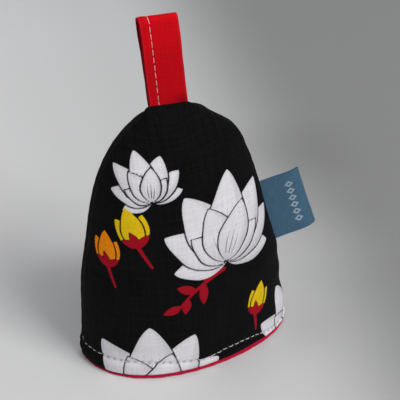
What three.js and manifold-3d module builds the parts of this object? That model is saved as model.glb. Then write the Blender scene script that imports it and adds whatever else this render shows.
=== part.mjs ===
// Egg cosy: a padded two-panel cloth cover for a boiled egg, standing open on its hem.
// Millimetres, +Z up. The front panel faces -Y, the side seams are at the -X and +X ends, and the
// origin is under the middle of the whole piece. A hanging loop is sewn into the top seam and a
// folded side label into the +X seam.

import * as THREE from 'three';
import { mergeVertices } from 'three/addons/utils/BufferGeometryUtils.js';
import Module from 'manifold-3d';

// --- Driving dimensions -------------------------------------------------------------------------

// The cover's outer face, ring by ring: height above the floor, reach to the left and the right
// seam from the middle of the mouth, and depth of the front and the back panel from the seam plane.
const RINGS = [
  { height: 0.0, left: -39.4, right: 40.2, front: 23.7, back: 22.4 },
  { height: 16.0, left: -38.7, right: 37.7, front: 23.5, back: 22.4 },
  { height: 33.0, left: -38.3, right: 35.7, front: 22.7, back: 21.8 },
  { height: 50.0, left: -35.8, right: 31.2, front: 20.9, back: 20.3 },
  { height: 65.0, left: -33.6, right: 27.3, front: 18.2, back: 17.8 },
  { height: 77.0, left: -30.3, right: 23.4, front: 14.7, back: 14.4 },
  { height: 87.0, left: -25.1, right: 18.1, front: 10.4, back: 10.2 },
  { height: 94.5, left: -18.2, right: 8.3, front: 5.8, back: 5.7 },
  { height: 97.9, left: -12.3, right: 1.8, front: 2.3, back: 2.3 },
];
const RIDGE = { height: 99.0, centre: -5.8 };

const LENS_POWER = 1.13;      // 1 would be an ellipse in plan, more pinches the panels at the seams
const FRONT_SKEW = 0.17;      // the front panel bellies out to the left of its middle at the hem
const FRONT_CORNERS = -0.12;  // and fills out towards both seams there

const PANEL_THICK = 2.0;      // printed cotton over thin wadding
const LINING_THICK = 1.0;     // plain cotton, two layers at the hem
const GAP = 0.3;              // between any two pieces
const SEAM_GAP = 0.15;        // from the seam plane to each panel's edge

// The lining rolls out under the panels at the hem and shows there as a narrow edge.
const HEM_SHOW = { left: 1.0, right: 2.0 };
const HEM_ROLL_INSET = 0.35;

// Hanging loop: a flat strap folded in two, its ends sewn into the top seam.
const LOOP = {
  width: 13.8,
  top: 133.3,
  tail: 97.1,
  centre: -5.2,     // across, where it leaves the seam
  leanDeg: 6.3,     // it leans to the left
  layer: 0.95,
  foldRadius: 2.3,  // outside of the soft fold at the top
};

// Side label: a ribbon folded in two, its ends sewn into the right seam.
const LABEL = {
  topX: 28.9,       // upper end of the line where it leaves the seam
  topZ: 60.0,
  bottomX: 35.7,    // lower end of that line
  bottomZ: 33.5,
  proud: 15.8,
  tail: 1.2,
  layer: 1.0,
  foldRadius: 1.35,
};

const COLUMNS = 26;           // facets across one panel, seam to seam
const STEPS_PER_RING = 2;     // facets between two rings of the table
const SMALL = 1e-4;           // two points closer than this are one

// --- The cover's form ---------------------------------------------------------------------------

/** Smooth curves through the table, carried past the ridge so that they cross it level. */
function ringCurves() {
  const last = RINGS[RINGS.length - 1];
  const crossed = (value) => 2 * RIDGE.centre - value;
  const outline = RINGS.map((ring) => new THREE.Vector3(ring.left, ring.right, ring.height));
  outline.push(new THREE.Vector3(RIDGE.centre, RIDGE.centre, RIDGE.height));
  outline.push(new THREE.Vector3(crossed(last.left), crossed(last.right), last.height));
  const depths = RINGS.map((ring) => new THREE.Vector3(ring.front, ring.back, 0));
  depths.push(new THREE.Vector3(0, 0, 0));
  depths.push(new THREE.Vector3(-last.front, -last.back, 0));
  const smooth = (points) => new THREE.CatmullRomCurve3(points, false, 'catmullrom', 0.5);
  return { outline: smooth(outline), depths: smooth(depths) };
}

const CURVES = ringCurves();
const RIDGE_AT = RINGS.length / (RINGS.length + 1);
const MOUTH = RINGS[0];

/** How much of the lining shows under the panel's hem, from the left seam to the right one. */
function hemShow(across) {
  const share = THREE.MathUtils.smoothstep(across, -0.6, 0.8);
  return THREE.MathUtils.lerp(HEM_SHOW.left, HEM_SHOW.right, share);
}

/**
 * A point of the cover, lying `inset` under its outer face.
 * @param {number} up 0 at the hem, 1 at the ridge
 * @param {number} turn 0 at the left seam, PI at the right seam
 * @param {number} side -1 for the front, +1 for the back
 * @param {number} inset depth under the outer face
 * @param {number} base height at which the piece starts, 0 for the floor
 */
function coverPoint(up, turn, side, inset, base) {
  const ring = CURVES.outline.getPoint(up * RIDGE_AT);
  const depth = CURVES.depths.getPoint(up * RIDGE_AT);
  const across = -Math.cos(turn);
  const centre = (ring.x + ring.y) / 2;
  const halfWidth = (ring.y - ring.x) / 2;
  const mouthHalf = (MOUTH.right - MOUTH.left) / 2;
  const mouthDepth = side < 0 ? MOUTH.front : MOUTH.back;
  const fade = 1 - ring.z / RIDGE.height;
  const belly = side < 0 ? 1 - fade * (FRONT_SKEW * across + FRONT_CORNERS * across ** 2) : 1;
  const lens = Math.max(Math.sin(turn), 0) ** LENS_POWER;
  const bulge = (side < 0 ? depth.x : depth.y) * lens * belly;
  const height = base + (ring.z * (RIDGE.height - inset) * (1 - base / RIDGE.height)) / RIDGE.height;
  return new THREE.Vector3(
    centre + (halfWidth * across * (mouthHalf - inset)) / mouthHalf,
    side * (SEAM_GAP + (bulge * (mouthDepth - inset)) / mouthDepth),
    height,
  );
}

/** One row of points from the left seam to the right one. */
function coverRow(up, side, inset, baseOf) {
  const row = [];
  for (let column = 0; column <= COLUMNS; column++) {
    const turn = (Math.PI * column) / COLUMNS;
    row.push(coverPoint(up, turn, side, inset, baseOf(-Math.cos(turn))));
  }
  return row;
}

/** Rows from the hem up to the ridge, where the last row closes to a point. */
function coverRows(side, inset, baseOf) {
  const count = RINGS.length * STEPS_PER_RING;
  const rows = [];
  for (let step = 0; step < count; step++) {
    rows.push(coverRow(step / count, side, inset, baseOf));
  }
  rows.push([coverPoint(1, Math.PI / 2, side, inset, 0)]);
  return rows;
}

/** A row at the mouth, level at the given height. */
function mouthRow(side, inset, heightOf) {
  return coverRow(0, side, inset, () => 0).map((point, column) => {
    const across = -Math.cos((Math.PI * column) / COLUMNS);
    return new THREE.Vector3(point.x, point.y, heightOf(across));
  });
}

/**
 * Closes an outer and an inner face into one sheet of cloth: hem edge, both seam edges, and the
 * point at the ridge. Both faces have the same rows.
 */
function closedSheet(outer, inner, side) {
  const triangles = [];
  const add = (a, b, c) => {
    const flat = new THREE.Triangle(a, b, c).getArea() < SMALL * SMALL;
    if (!flat) triangles.push(side < 0 ? [a, b, c] : [a, c, b]);
  };
  const at = (rows, row, column) => (rows[row].length === 1 ? rows[row][0] : rows[row][column]);
  const lastRow = outer.length - 1;
  for (let row = 0; row < lastRow; row++) {
    for (let column = 0; column < COLUMNS; column++) {
      const next = column + 1;
      add(at(outer, row, column), at(outer, row, next), at(outer, row + 1, next));
      add(at(outer, row, column), at(outer, row + 1, next), at(outer, row + 1, column));
      add(at(inner, row, column), at(inner, row + 1, next), at(inner, row, next));
      add(at(inner, row, column), at(inner, row + 1, column), at(inner, row + 1, next));
    }
    for (const [column, ahead] of [[0, true], [COLUMNS, false]]) {
      const low = at(outer, row, column);
      const high = at(outer, row + 1, column);
      const innerLow = at(inner, row, column);
      const innerHigh = at(inner, row + 1, column);
      if (ahead) {
        add(low, high, innerLow);
        add(high, innerHigh, innerLow);
      } else {
        add(high, low, innerLow);
        add(high, innerLow, innerHigh);
      }
    }
  }
  for (let column = 0; column < COLUMNS; column++) {
    add(outer[0][column + 1], outer[0][column], inner[0][column]);
    add(outer[0][column + 1], inner[0][column], inner[0][column + 1]);
  }
  const positions = triangles.flat().flatMap((point) => point.toArray());
  const geometry = new THREE.BufferGeometry();
  geometry.setAttribute('position', new THREE.Float32BufferAttribute(positions, 3));
  return mergeVertices(geometry, SMALL);
}

/** One outer panel: its hem edge stays above the floor by what the lining shows. */
function panelGeometry(side) {
  return closedSheet(coverRows(side, 0, hemShow), coverRows(side, PANEL_THICK, hemShow), side);
}

/** One lining: inside its panel, with its lower edge rolled out under the panel's hem. */
function liningGeometry(side) {
  const face = PANEL_THICK + GAP;
  const inside = face + LINING_THICK;
  const roll = (across) => hemShow(across) - GAP;
  const outer = [
    mouthRow(side, HEM_ROLL_INSET, () => 0),
    mouthRow(side, HEM_ROLL_INSET, roll),
    ...coverRows(side, face, roll),
  ];
  const inner = [
    mouthRow(side, inside, () => 0),
    mouthRow(side, inside, (across) => roll(across) / 2),
    ...coverRows(side, inside, (across) => roll(across) + LINING_THICK),
  ];
  return closedSheet(outer, inner, side);
}

// --- Folded strips ------------------------------------------------------------------------------

/**
 * Profile of a strip folded in two: x across the layers, y along the strip, ends at y = 0 and the
 * fold at y = length.
 */
function foldProfile(length, layer, foldRadius) {
  const foot = layer + GAP / 2;
  const fold = length - foldRadius;
  const inner = foldRadius - layer;
  const profile = new THREE.Shape();
  profile.moveTo(-foot, 0);
  profile.bezierCurveTo(-foot, fold * 0.35, -foldRadius, fold * 0.6, -foldRadius, fold);
  profile.absarc(0, fold, foldRadius, Math.PI, 0, true);
  profile.bezierCurveTo(foldRadius, fold * 0.6, foot, fold * 0.35, foot, 0);
  profile.lineTo(GAP / 2, 0);
  profile.bezierCurveTo(GAP / 2, fold * 0.35, inner, fold * 0.6, inner, fold);
  profile.absarc(0, fold, inner, 0, Math.PI, false);
  profile.bezierCurveTo(-inner, fold * 0.6, -GAP / 2, fold * 0.35, -GAP / 2, 0);
  profile.closePath();
  return profile;
}

/** The folded strip as a solid, `width` wide and centred on the profile's plane. */
function foldedStrip(length, layer, foldRadius, width) {
  const profile = foldProfile(length, layer, foldRadius);
  const options = { depth: width, bevelEnabled: false, curveSegments: 7 };
  const geometry = new THREE.ExtrudeGeometry(profile, options);
  geometry.translate(0, 0, -width / 2);
  return geometry;
}

/** Where the loop stands: strip upwards, width across, leaning over to the left. */
function loopPlacement() {
  const standing = new THREE.Matrix4().makeBasis(
    new THREE.Vector3(0, 1, 0),
    new THREE.Vector3(0, 0, 1),
    new THREE.Vector3(1, 0, 0),
  );
  const lean = new THREE.Matrix4();
  lean.elements[8] = -Math.tan(THREE.MathUtils.degToRad(LOOP.leanDeg));
  const foot = new THREE.Matrix4().makeTranslation(LOOP.centre, 0, LOOP.tail);
  return foot.multiply(lean).multiply(standing);
}

/** Where the label stands: strip outwards from the right seam, width down along the seam. */
function labelPlacement() {
  const along = new THREE.Vector3(LABEL.bottomX - LABEL.topX, 0, LABEL.bottomZ - LABEL.topZ);
  along.normalize();
  const outwards = new THREE.Vector3(-along.z, 0, along.x);
  const middle = new THREE.Vector3(
    (LABEL.topX + LABEL.bottomX) / 2,
    0,
    (LABEL.topZ + LABEL.bottomZ) / 2,
  );
  const start = middle.addScaledVector(outwards, -LABEL.tail);
  const across = new THREE.Vector3().crossVectors(outwards, along);
  return new THREE.Matrix4().makeBasis(across, outwards, along).setPosition(start);
}

const LOOP_LENGTH = LOOP.top - LOOP.tail;
const LABEL_WIDTH = Math.hypot(LABEL.bottomX - LABEL.topX, LABEL.bottomZ - LABEL.topZ);

function loopGeometry() {
  const strip = foldedStrip(LOOP_LENGTH, LOOP.layer, LOOP.foldRadius, LOOP.width);
  return strip.applyMatrix4(loopPlacement());
}

function labelGeometry() {
  const strip = foldedStrip(LABEL.proud + LABEL.tail, LABEL.layer, LABEL.foldRadius, LABEL_WIDTH);
  return strip.applyMatrix4(labelPlacement());
}

/** The space that a strip's tail takes in the seam, with the gap all round it. */
function tailRoom(layer, reach, width, placement) {
  const room = new THREE.BoxGeometry(2 * layer + 3 * GAP, reach + GAP, width + 2 * GAP);
  room.translate(0, (reach - GAP) / 2, 0);
  return room.applyMatrix4(placement);
}

// --- Cutting the seam open for the strips -------------------------------------------------------

const wasm = await Module();
wasm.setup();

function toSolid(geometry) {
  const bare = geometry.clone();
  bare.deleteAttribute('normal');
  bare.deleteAttribute('uv');
  const merged = mergeVertices(bare, SMALL);
  const vertProperties = new Float32Array(merged.attributes.position.array);
  const triVerts = new Uint32Array(merged.index.array);
  return new wasm.Manifold(new wasm.Mesh({ numProp: 3, vertProperties, triVerts }));
}

function toGeometry(solid) {
  const mesh = solid.getMesh();
  const geometry = new THREE.BufferGeometry();
  geometry.setAttribute('position', new THREE.BufferAttribute(mesh.vertProperties, 3));
  geometry.setIndex(new THREE.BufferAttribute(mesh.triVerts, 1));
  return geometry;
}

function cut(geometry, rooms) {
  return toGeometry(rooms.reduce((solid, room) => solid.subtract(toSolid(room)), toSolid(geometry)));
}

// --- The cosy -----------------------------------------------------------------------------------

function piece(name, geometry, colour, roughness) {
  const material = new THREE.MeshStandardMaterial({ color: colour, roughness, metalness: 0 });
  geometry.computeVertexNormals();
  const mesh = new THREE.Mesh(geometry, material);
  mesh.name = name;
  return mesh;
}

const PRINT_BLACK = 0x161517;
const LINING_RED = 0xae1a2c;
const LOOP_RED = 0xba141e;
const LABEL_BLUE = 0x4e6a7e;

const rooms = [
  tailRoom(LOOP.layer, RIDGE.height - LOOP.tail + 2, LOOP.width, loopPlacement()),
  tailRoom(LABEL.layer, LABEL.tail + 2, LABEL_WIDTH, labelPlacement()),
];

const cosy = new THREE.Group();
cosy.add(
  piece('front_panel', cut(panelGeometry(-1), rooms), PRINT_BLACK, 0.9),
  piece('back_panel', cut(panelGeometry(1), rooms), PRINT_BLACK, 0.9),
  piece('front_lining', liningGeometry(-1), LINING_RED, 0.85),
  piece('back_lining', liningGeometry(1), LINING_RED, 0.85),
  piece('hanging_loop', loopGeometry(), LOOP_RED, 0.85),
  piece('side_label', labelGeometry(), LABEL_BLUE, 0.7),
);

const extent = new THREE.Box3().setFromObject(cosy, true);
cosy.position.set(-(extent.min.x + extent.max.x) / 2, -(extent.min.y + extent.max.y) / 2, 0);
cosy.updateMatrixWorld(true);

export default cosy;
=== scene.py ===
"""Egg cosy: two padded, printed panels sewn round their edge, a red lining rolled out under their
hem, a red hanging loop in the top seam and a folded ribbon label in the side seam.

Lengths inside the classes are millimetres, and every mesh is handed to Blender in metres. The front
panel faces -Y, the cloth's own coordinates are u across and v up from the hem edge.
"""

from __future__ import annotations

import logging
import math
from collections.abc import Callable, Iterable, Sequence
from dataclasses import dataclass, field
from enum import Enum
from functools import cache
from typing import Any

import bmesh
import bpy
import numpy as np
from mathutils import Matrix, Vector

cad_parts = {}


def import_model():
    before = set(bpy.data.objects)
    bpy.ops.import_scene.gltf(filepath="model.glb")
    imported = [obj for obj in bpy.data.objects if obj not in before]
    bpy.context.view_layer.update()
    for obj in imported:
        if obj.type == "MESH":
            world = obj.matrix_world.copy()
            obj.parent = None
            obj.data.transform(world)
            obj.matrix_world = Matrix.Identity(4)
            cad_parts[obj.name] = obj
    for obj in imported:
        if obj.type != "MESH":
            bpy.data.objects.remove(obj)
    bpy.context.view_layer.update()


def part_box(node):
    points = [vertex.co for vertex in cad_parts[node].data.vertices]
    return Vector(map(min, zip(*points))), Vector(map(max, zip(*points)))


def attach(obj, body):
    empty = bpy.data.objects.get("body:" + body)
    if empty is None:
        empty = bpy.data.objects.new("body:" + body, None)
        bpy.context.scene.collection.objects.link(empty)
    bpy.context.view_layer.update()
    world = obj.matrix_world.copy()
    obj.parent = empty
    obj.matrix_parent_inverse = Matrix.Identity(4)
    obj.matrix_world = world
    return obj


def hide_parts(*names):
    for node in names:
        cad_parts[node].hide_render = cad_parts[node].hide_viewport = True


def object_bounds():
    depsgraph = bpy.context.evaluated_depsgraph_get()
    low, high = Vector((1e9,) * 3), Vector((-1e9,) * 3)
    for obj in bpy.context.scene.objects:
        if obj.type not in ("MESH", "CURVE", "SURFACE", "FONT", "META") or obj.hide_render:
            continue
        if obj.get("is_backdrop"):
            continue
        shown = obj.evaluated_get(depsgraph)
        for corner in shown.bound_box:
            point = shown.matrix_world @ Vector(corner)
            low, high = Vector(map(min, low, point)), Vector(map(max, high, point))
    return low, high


LOG = logging.getLogger("egg_cosy")
MM = 0.001
Array = np.ndarray
Triple = tuple[float, float, float]
Colour = Triple
Spot = tuple[float, float]
Piece = bpy.types.Object
Relief = Callable[[Array, Array, Array], tuple[Array, Array, Array]]

FINE_STEPS = 2000  # steps in which a length is walked to space something along it
TINY = 1e-9


# --- Small shared tools ---


def smoothstep(value: Array, low: float, high: float) -> Array:
    """Eased share, 0 to 1, of the way from low to high."""
    share = np.clip((value - low) / (high - low), 0.0, 1.0)
    return share * share * (3.0 - 2.0 * share)


def hump(value: Array, centre: float | Array, reach: float) -> Array:
    """Bell of height 1 at centre, `reach` wide to its shoulder."""
    return np.exp(-(((value - centre) / reach) ** 2))


def smooth_through(points: Array, at: Array) -> Array:
    """Uniform Catmull-Rom curve through a table of points.

    Args:
        points: One row per point, any number of columns.
        at: Where to read it, 0 at the first row and 1 more for each next one, up to the last but
            one.

    Returns:
        One row of columns for each entry of at.
    """
    padded = np.vstack([2 * points[0] - points[1], points])
    span = np.clip(np.floor(at).astype(int), 0, len(points) - 3)
    share = (at - span)[..., None]
    before, start, end, after = (padded[span + step] for step in range(4))
    start_pull, end_pull = (end - before) / 2, (after - start) / 2
    bend = -3 * start + 3 * end - 2 * start_pull - end_pull
    turn = 2 * start - 2 * end + start_pull + end_pull
    return start + share * (start_pull + share * (bend + share * turn))


def smooth_along(values: Sequence[float], across: Array) -> Array:
    """A smooth run through values at even steps from the left seam, -1, to the right one, 1.

    The last value lies one step on.
    """
    steps = len(values) - 2
    return smooth_through(np.array(values)[:, None], (across + 1) / 2 * steps)[..., 0]


def run_length(points: Array, axis: int) -> Array:
    """Length walked along one axis of a grid of points.

    Args:
        points: Grid of points, coordinates last.
        axis: Axis to walk along.

    Returns:
        The length walked to each point.
    """
    steps = np.linalg.norm(np.diff(points, axis=axis), axis=-1)
    first = np.zeros_like(np.take(steps, [0], axis=axis))
    return np.cumsum(np.concatenate([first, steps], axis=axis), axis=axis)


def spaced(length: float, count: int, reach: float, extra: float) -> Array:
    """Stations along a length, closer together at both ends.

    Args:
        length: The whole length.
        count: Number of spans.
        reach: How far from each end they are closer.
        extra: How many times closer there, less one.

    Returns:
        count + 1 stations from 0 to length.
    """
    fine = np.linspace(0.0, length, FINE_STEPS + 1)
    dense = 1 + extra * (hump(fine, 0.0, reach) + hump(fine, length, reach))
    walked = np.concatenate([[0.0], np.cumsum((dense[1:] + dense[:-1]) / 2)])
    return np.interp(np.linspace(0, walked[-1], count + 1), walked, fine)


def profile_normals(line: Array) -> Array:
    """Unit normals of a flat line of points.

    Args:
        line: One row of two coordinates per point.

    Returns:
        The same for each normal, to the left of the line.
    """
    tangent = np.gradient(line, axis=0)
    tangent /= np.linalg.norm(tangent, axis=1, keepdims=True)
    return np.stack([-tangent[:, 1], tangent[:, 0]], axis=1)


def linear(colour: Colour) -> tuple[float, float, float, float]:
    """A display colour as the linear colour that a socket takes.

    Args:
        colour: Red, green and blue, 0 to 255.

    Returns:
        Linear red, green, blue and alpha.
    """
    found = []
    for channel in colour:
        share = channel / 255
        found.append(share / 12.92 if share <= 0.04045 else ((share + 0.055) / 1.055) ** 2.4)
    return found[0], found[1], found[2], 1.0


def put_in_scene(name: str, data: bpy.types.ID) -> Piece:
    """Makes an object of some data and links it into the scene.

    Args:
        name: The object's name.
        data: Its mesh, light or camera.

    Returns:
        The object, at the origin.
    """
    made = bpy.data.objects.new(name, data)
    bpy.context.scene.collection.objects.link(made)
    return made


def add_vectors(mesh: bpy.types.Mesh, name: str, values: Array) -> None:
    """Adds a vector attribute to a mesh, a row of three numbers per vertex."""
    layer = mesh.attributes.new(name, "FLOAT_VECTOR", "POINT")
    layer.data.foreach_set("vector", np.ascontiguousarray(values, np.float32).ravel())


class Ease(Enum):
    """How a value goes from one end of a range to the other, by Blender's name for it."""

    EVEN = "LINEAR"
    SOFT = "SMOOTHSTEP"
    SOFTER = "SMOOTHERSTEP"


class NodePen:
    """Adds nodes to one tree and wires them."""

    def __init__(self, tree: bpy.types.NodeTree) -> None:
        """Starts on a tree that holds whatever it holds."""
        self.tree = tree

    def add(
        self, kind: str, inputs: dict[int | str, Any] | None = None, **settings: Any
    ) -> bpy.types.Node:
        """One node.

        Args:
            kind: The node's type name.
            inputs: Sockets by index or name, each a value or another node's output.
            **settings: The node's own properties.

        Returns:
            The node.
        """
        node = self.tree.nodes.new(kind)
        for name, value in settings.items():
            setattr(node, name, value)
        for key, value in (inputs or {}).items():
            if isinstance(value, bpy.types.NodeSocket):
                self.tree.links.new(value, node.inputs[key])
            else:
                node.inputs[key].default_value = value
        return node

    def first(self, kind: str, inputs: dict[int | str, Any], **settings: Any) -> Any:
        """First output of a new node, which is given as for add."""
        return self.add(kind, inputs, **settings).outputs[0]

    def math(self, operation: str, *values: Any) -> Any:
        """Result of one math node on values or sockets."""
        return self.first("ShaderNodeMath", dict(enumerate(values)), operation=operation)

    def times(self, one: Any, other: Any) -> Any:
        """Product of two values or sockets."""
        return self.math("MULTIPLY", one, other)

    def off(self, value: Any, place: float) -> Any:
        """Distance of a value from a place."""
        return self.math("ABSOLUTE", self.math("SUBTRACT", value, place))

    def between(
        self, value: Any, low: Any, high: Any, to: Spot = (0, 1), ease: Ease = Ease.EVEN
    ) -> Any:
        """A value carried from low and high to another range, held at both ends."""
        inputs = {"Value": value, "From Min": low, "From Max": high}
        inputs |= {"To Min": to[0], "To Max": to[1]}
        return self.first("ShaderNodeMapRange", inputs, interpolation_type=ease.value)

    def blend(self, share: Any, under: Any, over: Any, how: str = "MIX") -> Any:
        """One colour laid over another by a share, in the way that Blender calls `how`."""
        inputs = {0: share, 6: under, 7: over}
        return self.add("ShaderNodeMix", inputs, data_type="RGBA", blend_type=how).outputs[2]

    def toned(self, colour: Any, tone: Any) -> Any:
        """A colour multiplied by a tone near 1."""
        grey = self.first("ShaderNodeCombineColor", {0: tone, 1: tone, 2: tone})
        return self.blend(1.0, colour, grey, "MULTIPLY")

    def noise(self, where: Any, scale: Triple, detail: float = 2.0) -> Any:
        """Noise read at a vector.

        Args:
            where: The vector.
            scale: How fine it is on each axis.
            detail: Its finer layers.

        Returns:
            The noise's socket, about 0.5.
        """
        spot = self.first("ShaderNodeMapping", {"Vector": where, "Scale": scale})
        inputs = {"Vector": spot, "Scale": 1.0, "Detail": detail, "Roughness": 0.55}
        return self.first("ShaderNodeTexNoise", inputs)

    def split(self, vector: Any) -> Any:
        """The three parts of a vector."""
        return self.add("ShaderNodeSeparateXYZ", {0: vector}).outputs[:3]

    def attribute(self, name: str) -> Any:
        """A vector attribute of the piece."""
        return self.add("ShaderNodeAttribute", attribute_name=name).outputs["Vector"]

    def object_place(self) -> Any:
        """The place on the piece, in metres."""
        return self.add("ShaderNodeTexCoord").outputs["Object"]

    def bump(self, height: Any, strength: float, distance: float) -> Any:
        """A height of 0 to 1 as a normal, for a relief of `distance` millimetres."""
        inputs = {"Strength": strength, "Distance": distance * MM, "Height": height}
        return self.first("ShaderNodeBump", inputs)

    def surface(self, inputs: dict[int | str, Any]) -> None:
        """Ends a material in a principled shader with these inputs."""
        shader = self.first("ShaderNodeBsdfPrincipled", inputs)
        self.add("ShaderNodeOutputMaterial", {0: shader})


# --- Finishes ---


class Finish:
    """What a piece is made of, by its material's name. Colours are display colours, 0 to 255."""

    name: str

    def paint(self, pen: NodePen) -> None:
        """Adds the finish's nodes with a pen on its empty tree."""
        raise NotImplementedError

    @cache
    def material(self) -> bpy.types.Material:
        """The material, made on the first call.

        Returns:
            The same one each time.
        """
        made = bpy.data.materials.new(self.name)
        made.use_nodes = True
        made.node_tree.nodes.clear()
        self.paint(NodePen(made.node_tree))
        return made


@dataclass(frozen=True)
class Weave:
    """A plain weave in cloth millimetres, with the slubs of spun thread.

    Attributes:
        pitch: Between neighbouring threads.
        relief: Height of a thread over the gap beside it.
        slub: Share by which thick and thin threads change the tone.
        patch: Share by which the tone wanders over some centimetres.
        drift: How far the threads stray from straight.
        over: Share by which a thread rises where it crosses over another.
        slub_fine: How fine the slubs are across the threads, along them and between layers.
    """

    pitch: float = 0.42
    relief: float = 0.05
    slub: float = 0.05
    patch: float = 0.03
    drift: float = 0.5
    over: float = 0.35
    slub_fine: Triple = (1.25, 0.07, 0.3)

    def lay(self, pen: NodePen, where: Any) -> tuple[Any, Any]:
        """Builds the weave.

        Args:
            pen: Pen on the material's tree.
            where: Cloth coordinates, u and v in millimetres.

        Returns:
            Thread height, 0 to 1, and a tone near 1 to multiply a colour by.
        """
        parts = pen.split(where)
        swell = pen.noise(where, (0.5, 0.5, 0.5), 1.0)
        drift = pen.times(pen.math("SUBTRACT", swell, 0.5), self.drift)
        waves = []
        for axis in (0, 1):
            moved = pen.math("ADD", parts[axis], drift)
            waves.append(pen.math("SINE", pen.times(moved, math.pi / self.pitch)))
        crossing = pen.times(pen.times(waves[0], waves[1]), self.over)
        warp = pen.math("ADD", pen.math("ABSOLUTE", waves[0]), crossing)
        weft = pen.math("SUBTRACT", pen.math("ABSOLUTE", waves[1]), crossing)
        threads = pen.times(pen.math("MAXIMUM", warp, weft), 1 / (1 + self.over))
        across, along, layer = self.slub_fine
        warp_slub = pen.noise(where, (across, along, layer), 3.0)
        weft_slub = pen.noise(where, (along, across, layer), 3.0)
        slubs = pen.math("SUBTRACT", pen.math("ADD", warp_slub, weft_slub), 1.0)
        patches = pen.math("SUBTRACT", pen.noise(where, (0.09, 0.07, 0.1)), 0.5)
        tone = pen.math("MULTIPLY_ADD", slubs, self.slub * 4, 1.0)
        tone = pen.math("MULTIPLY_ADD", patches, self.patch * 4, tone)
        tone = pen.times(tone, pen.between(threads, 0.25, 0.7, (0.93, 1.02)))
        return pen.math("MULTIPLY_ADD", slubs, 0.9, threads), tone

    def bump(self, pen: NodePen, height: Any) -> Any:
        """The threads' height as a normal."""
        return pen.bump(height, 1.0, self.relief)


@dataclass(frozen=True)
class PrintedCotton(Finish):
    """Black cotton printed with pale flowers, yellow and orange buds and red leaves.

    Attributes:
        ground: The unprinted cloth.
        white: A petal.
        shaded: A petal where it is drawn in shade.
        red: Leaves and stems.
        yellow: One kind of bud.
        orange: The other.
        pit: Painted shade in a needle hole, a grey laid over the cloth's colour.
        rubbed: The thread where an edge is worn.
        weave: The cloth's weave.
        ground_depth: Power by which the weave's tone shows more in the black than in the inks.
        bleed: How far the inks' edges are ragged.
        soft: Half the width over which an ink's edge fades.
    """

    name: str = "printed_cotton"
    ground: Colour = (11, 11, 12)
    white: Colour = (226, 223, 228)
    shaded: Colour = (128, 124, 132)
    red: Colour = (160, 14, 32)
    yellow: Colour = (226, 190, 20)
    orange: Colour = (245, 141, 12)
    pit: Colour = (70, 66, 72)
    rubbed: Colour = (200, 198, 200)
    weave: Weave = Weave(pitch=0.42, relief=0.055, slub=0.075, patch=0.03)
    ground_depth: float = 4.0
    bleed: float = 0.28
    soft: float = 0.13

    def paint(self, pen: NodePen) -> None:
        """Adds the nodes, which read the attributes cloth, print_a and print_b.

        Args:
            pen: Pen on the material's empty tree.
        """
        where = pen.attribute("cloth")
        height, tone = self.weave.lay(pen, where)
        ragged = pen.math("SUBTRACT", pen.noise(where, (2.2, 2.2, 2.2)), 0.5)
        bled = pen.times(ragged, self.bleed)
        inks = [ink for name in PRINT_LAYERS for ink in pen.split(pen.attribute(name))]
        white, red, yellow, orange, shade, pit = inks
        colour = pen.toned(linear(self.ground), pen.math("POWER", tone, self.ground_depth))
        petal = pen.blend(shade, linear(self.white), linear(self.shaded))
        for ink, over in (
            (red, linear(self.red)),
            (white, petal),
            (yellow, linear(self.yellow)),
            (orange, linear(self.orange)),
        ):
            share = pen.between(pen.math("ADD", ink, bled), -self.soft, self.soft)
            colour = pen.blend(share, colour, over)
        worn = pen.times(pen.split(where)[2], pen.between(ragged, -0.1, 0.25, (0.0, 0.035)))
        colour = pen.blend(worn, pen.toned(colour, tone), linear(self.rubbed))
        pen.surface(
            {
                # Painted shade in the needle holes: a grey laid over the colour by nearness to a
                # hole.
                "Base Color": pen.blend(pen.times(pit, 0.55), colour, linear(self.pit)),
                "Roughness": pen.between(height, 0.2, 0.9, (0.95, 0.84)),
                "Specular IOR Level": 0.075,
                "Sheen Weight": 0.011,
                "Sheen Roughness": 0.45,
                "Normal": self.weave.bump(pen, height),
            }
        )


@dataclass(frozen=True)
class PlainCotton(Finish):
    """Dyed plain-weave cotton.

    Attributes:
        colour: The cloth.
        deep: Between its threads.
        shade: Painted shade where the cloth's third value is below 0: a fold's inner faces, the
            hanging loop's left side and its foot under the panel's edge.
        fuzz: The fluff on its edges.
        weave: Its weave.
        painted_highlight: A painted highlight: share by which it is paler around one place along
            the cloth, that place and the reach to where it has its own tone again.
    """

    name: str
    colour: Colour
    deep: Colour
    shade: Colour = (92, 4, 26)
    fuzz: Colour = (232, 120, 125)
    weave: Weave = Weave()
    painted_highlight: Triple = (0.0, 36.0, 24.0)

    def paint(self, pen: NodePen) -> None:
        """Adds the nodes, which read the attribute cloth.

        Args:
            pen: Pen on the material's empty tree.
        """
        where = pen.attribute("cloth")
        height, tone = self.weave.lay(pen, where)
        _, along, edge = pen.split(where)
        # Painted highlight: the cloth is made paler around one place along it.
        share, place, reach = self.painted_highlight
        near = pen.between(pen.off(along, place), reach, 0.45 * reach, (1.0, 1.0 + share))
        tone = pen.times(tone, near)
        depth = pen.between(height, 0.15, 0.75, (0.55, 0.0))
        colour = pen.blend(depth, linear(self.colour), linear(self.deep))
        # Painted shade where the third value is below 0.
        colour = pen.blend(pen.between(edge, -0.9, 0.0, (0.75, 0.0)), colour, linear(self.shade))
        colour = pen.blend(pen.times(edge, 0.10), pen.toned(colour, tone), linear(self.fuzz))
        pen.surface(
            {
                "Base Color": colour,
                "Roughness": pen.between(height, 0.2, 0.9, (0.92, 0.8)),
                "Specular IOR Level": 0.06,
                "Sheen Weight": 0.01,
                "Sheen Roughness": 0.5,
                "Normal": self.weave.bump(pen, height),
            }
        )


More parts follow.
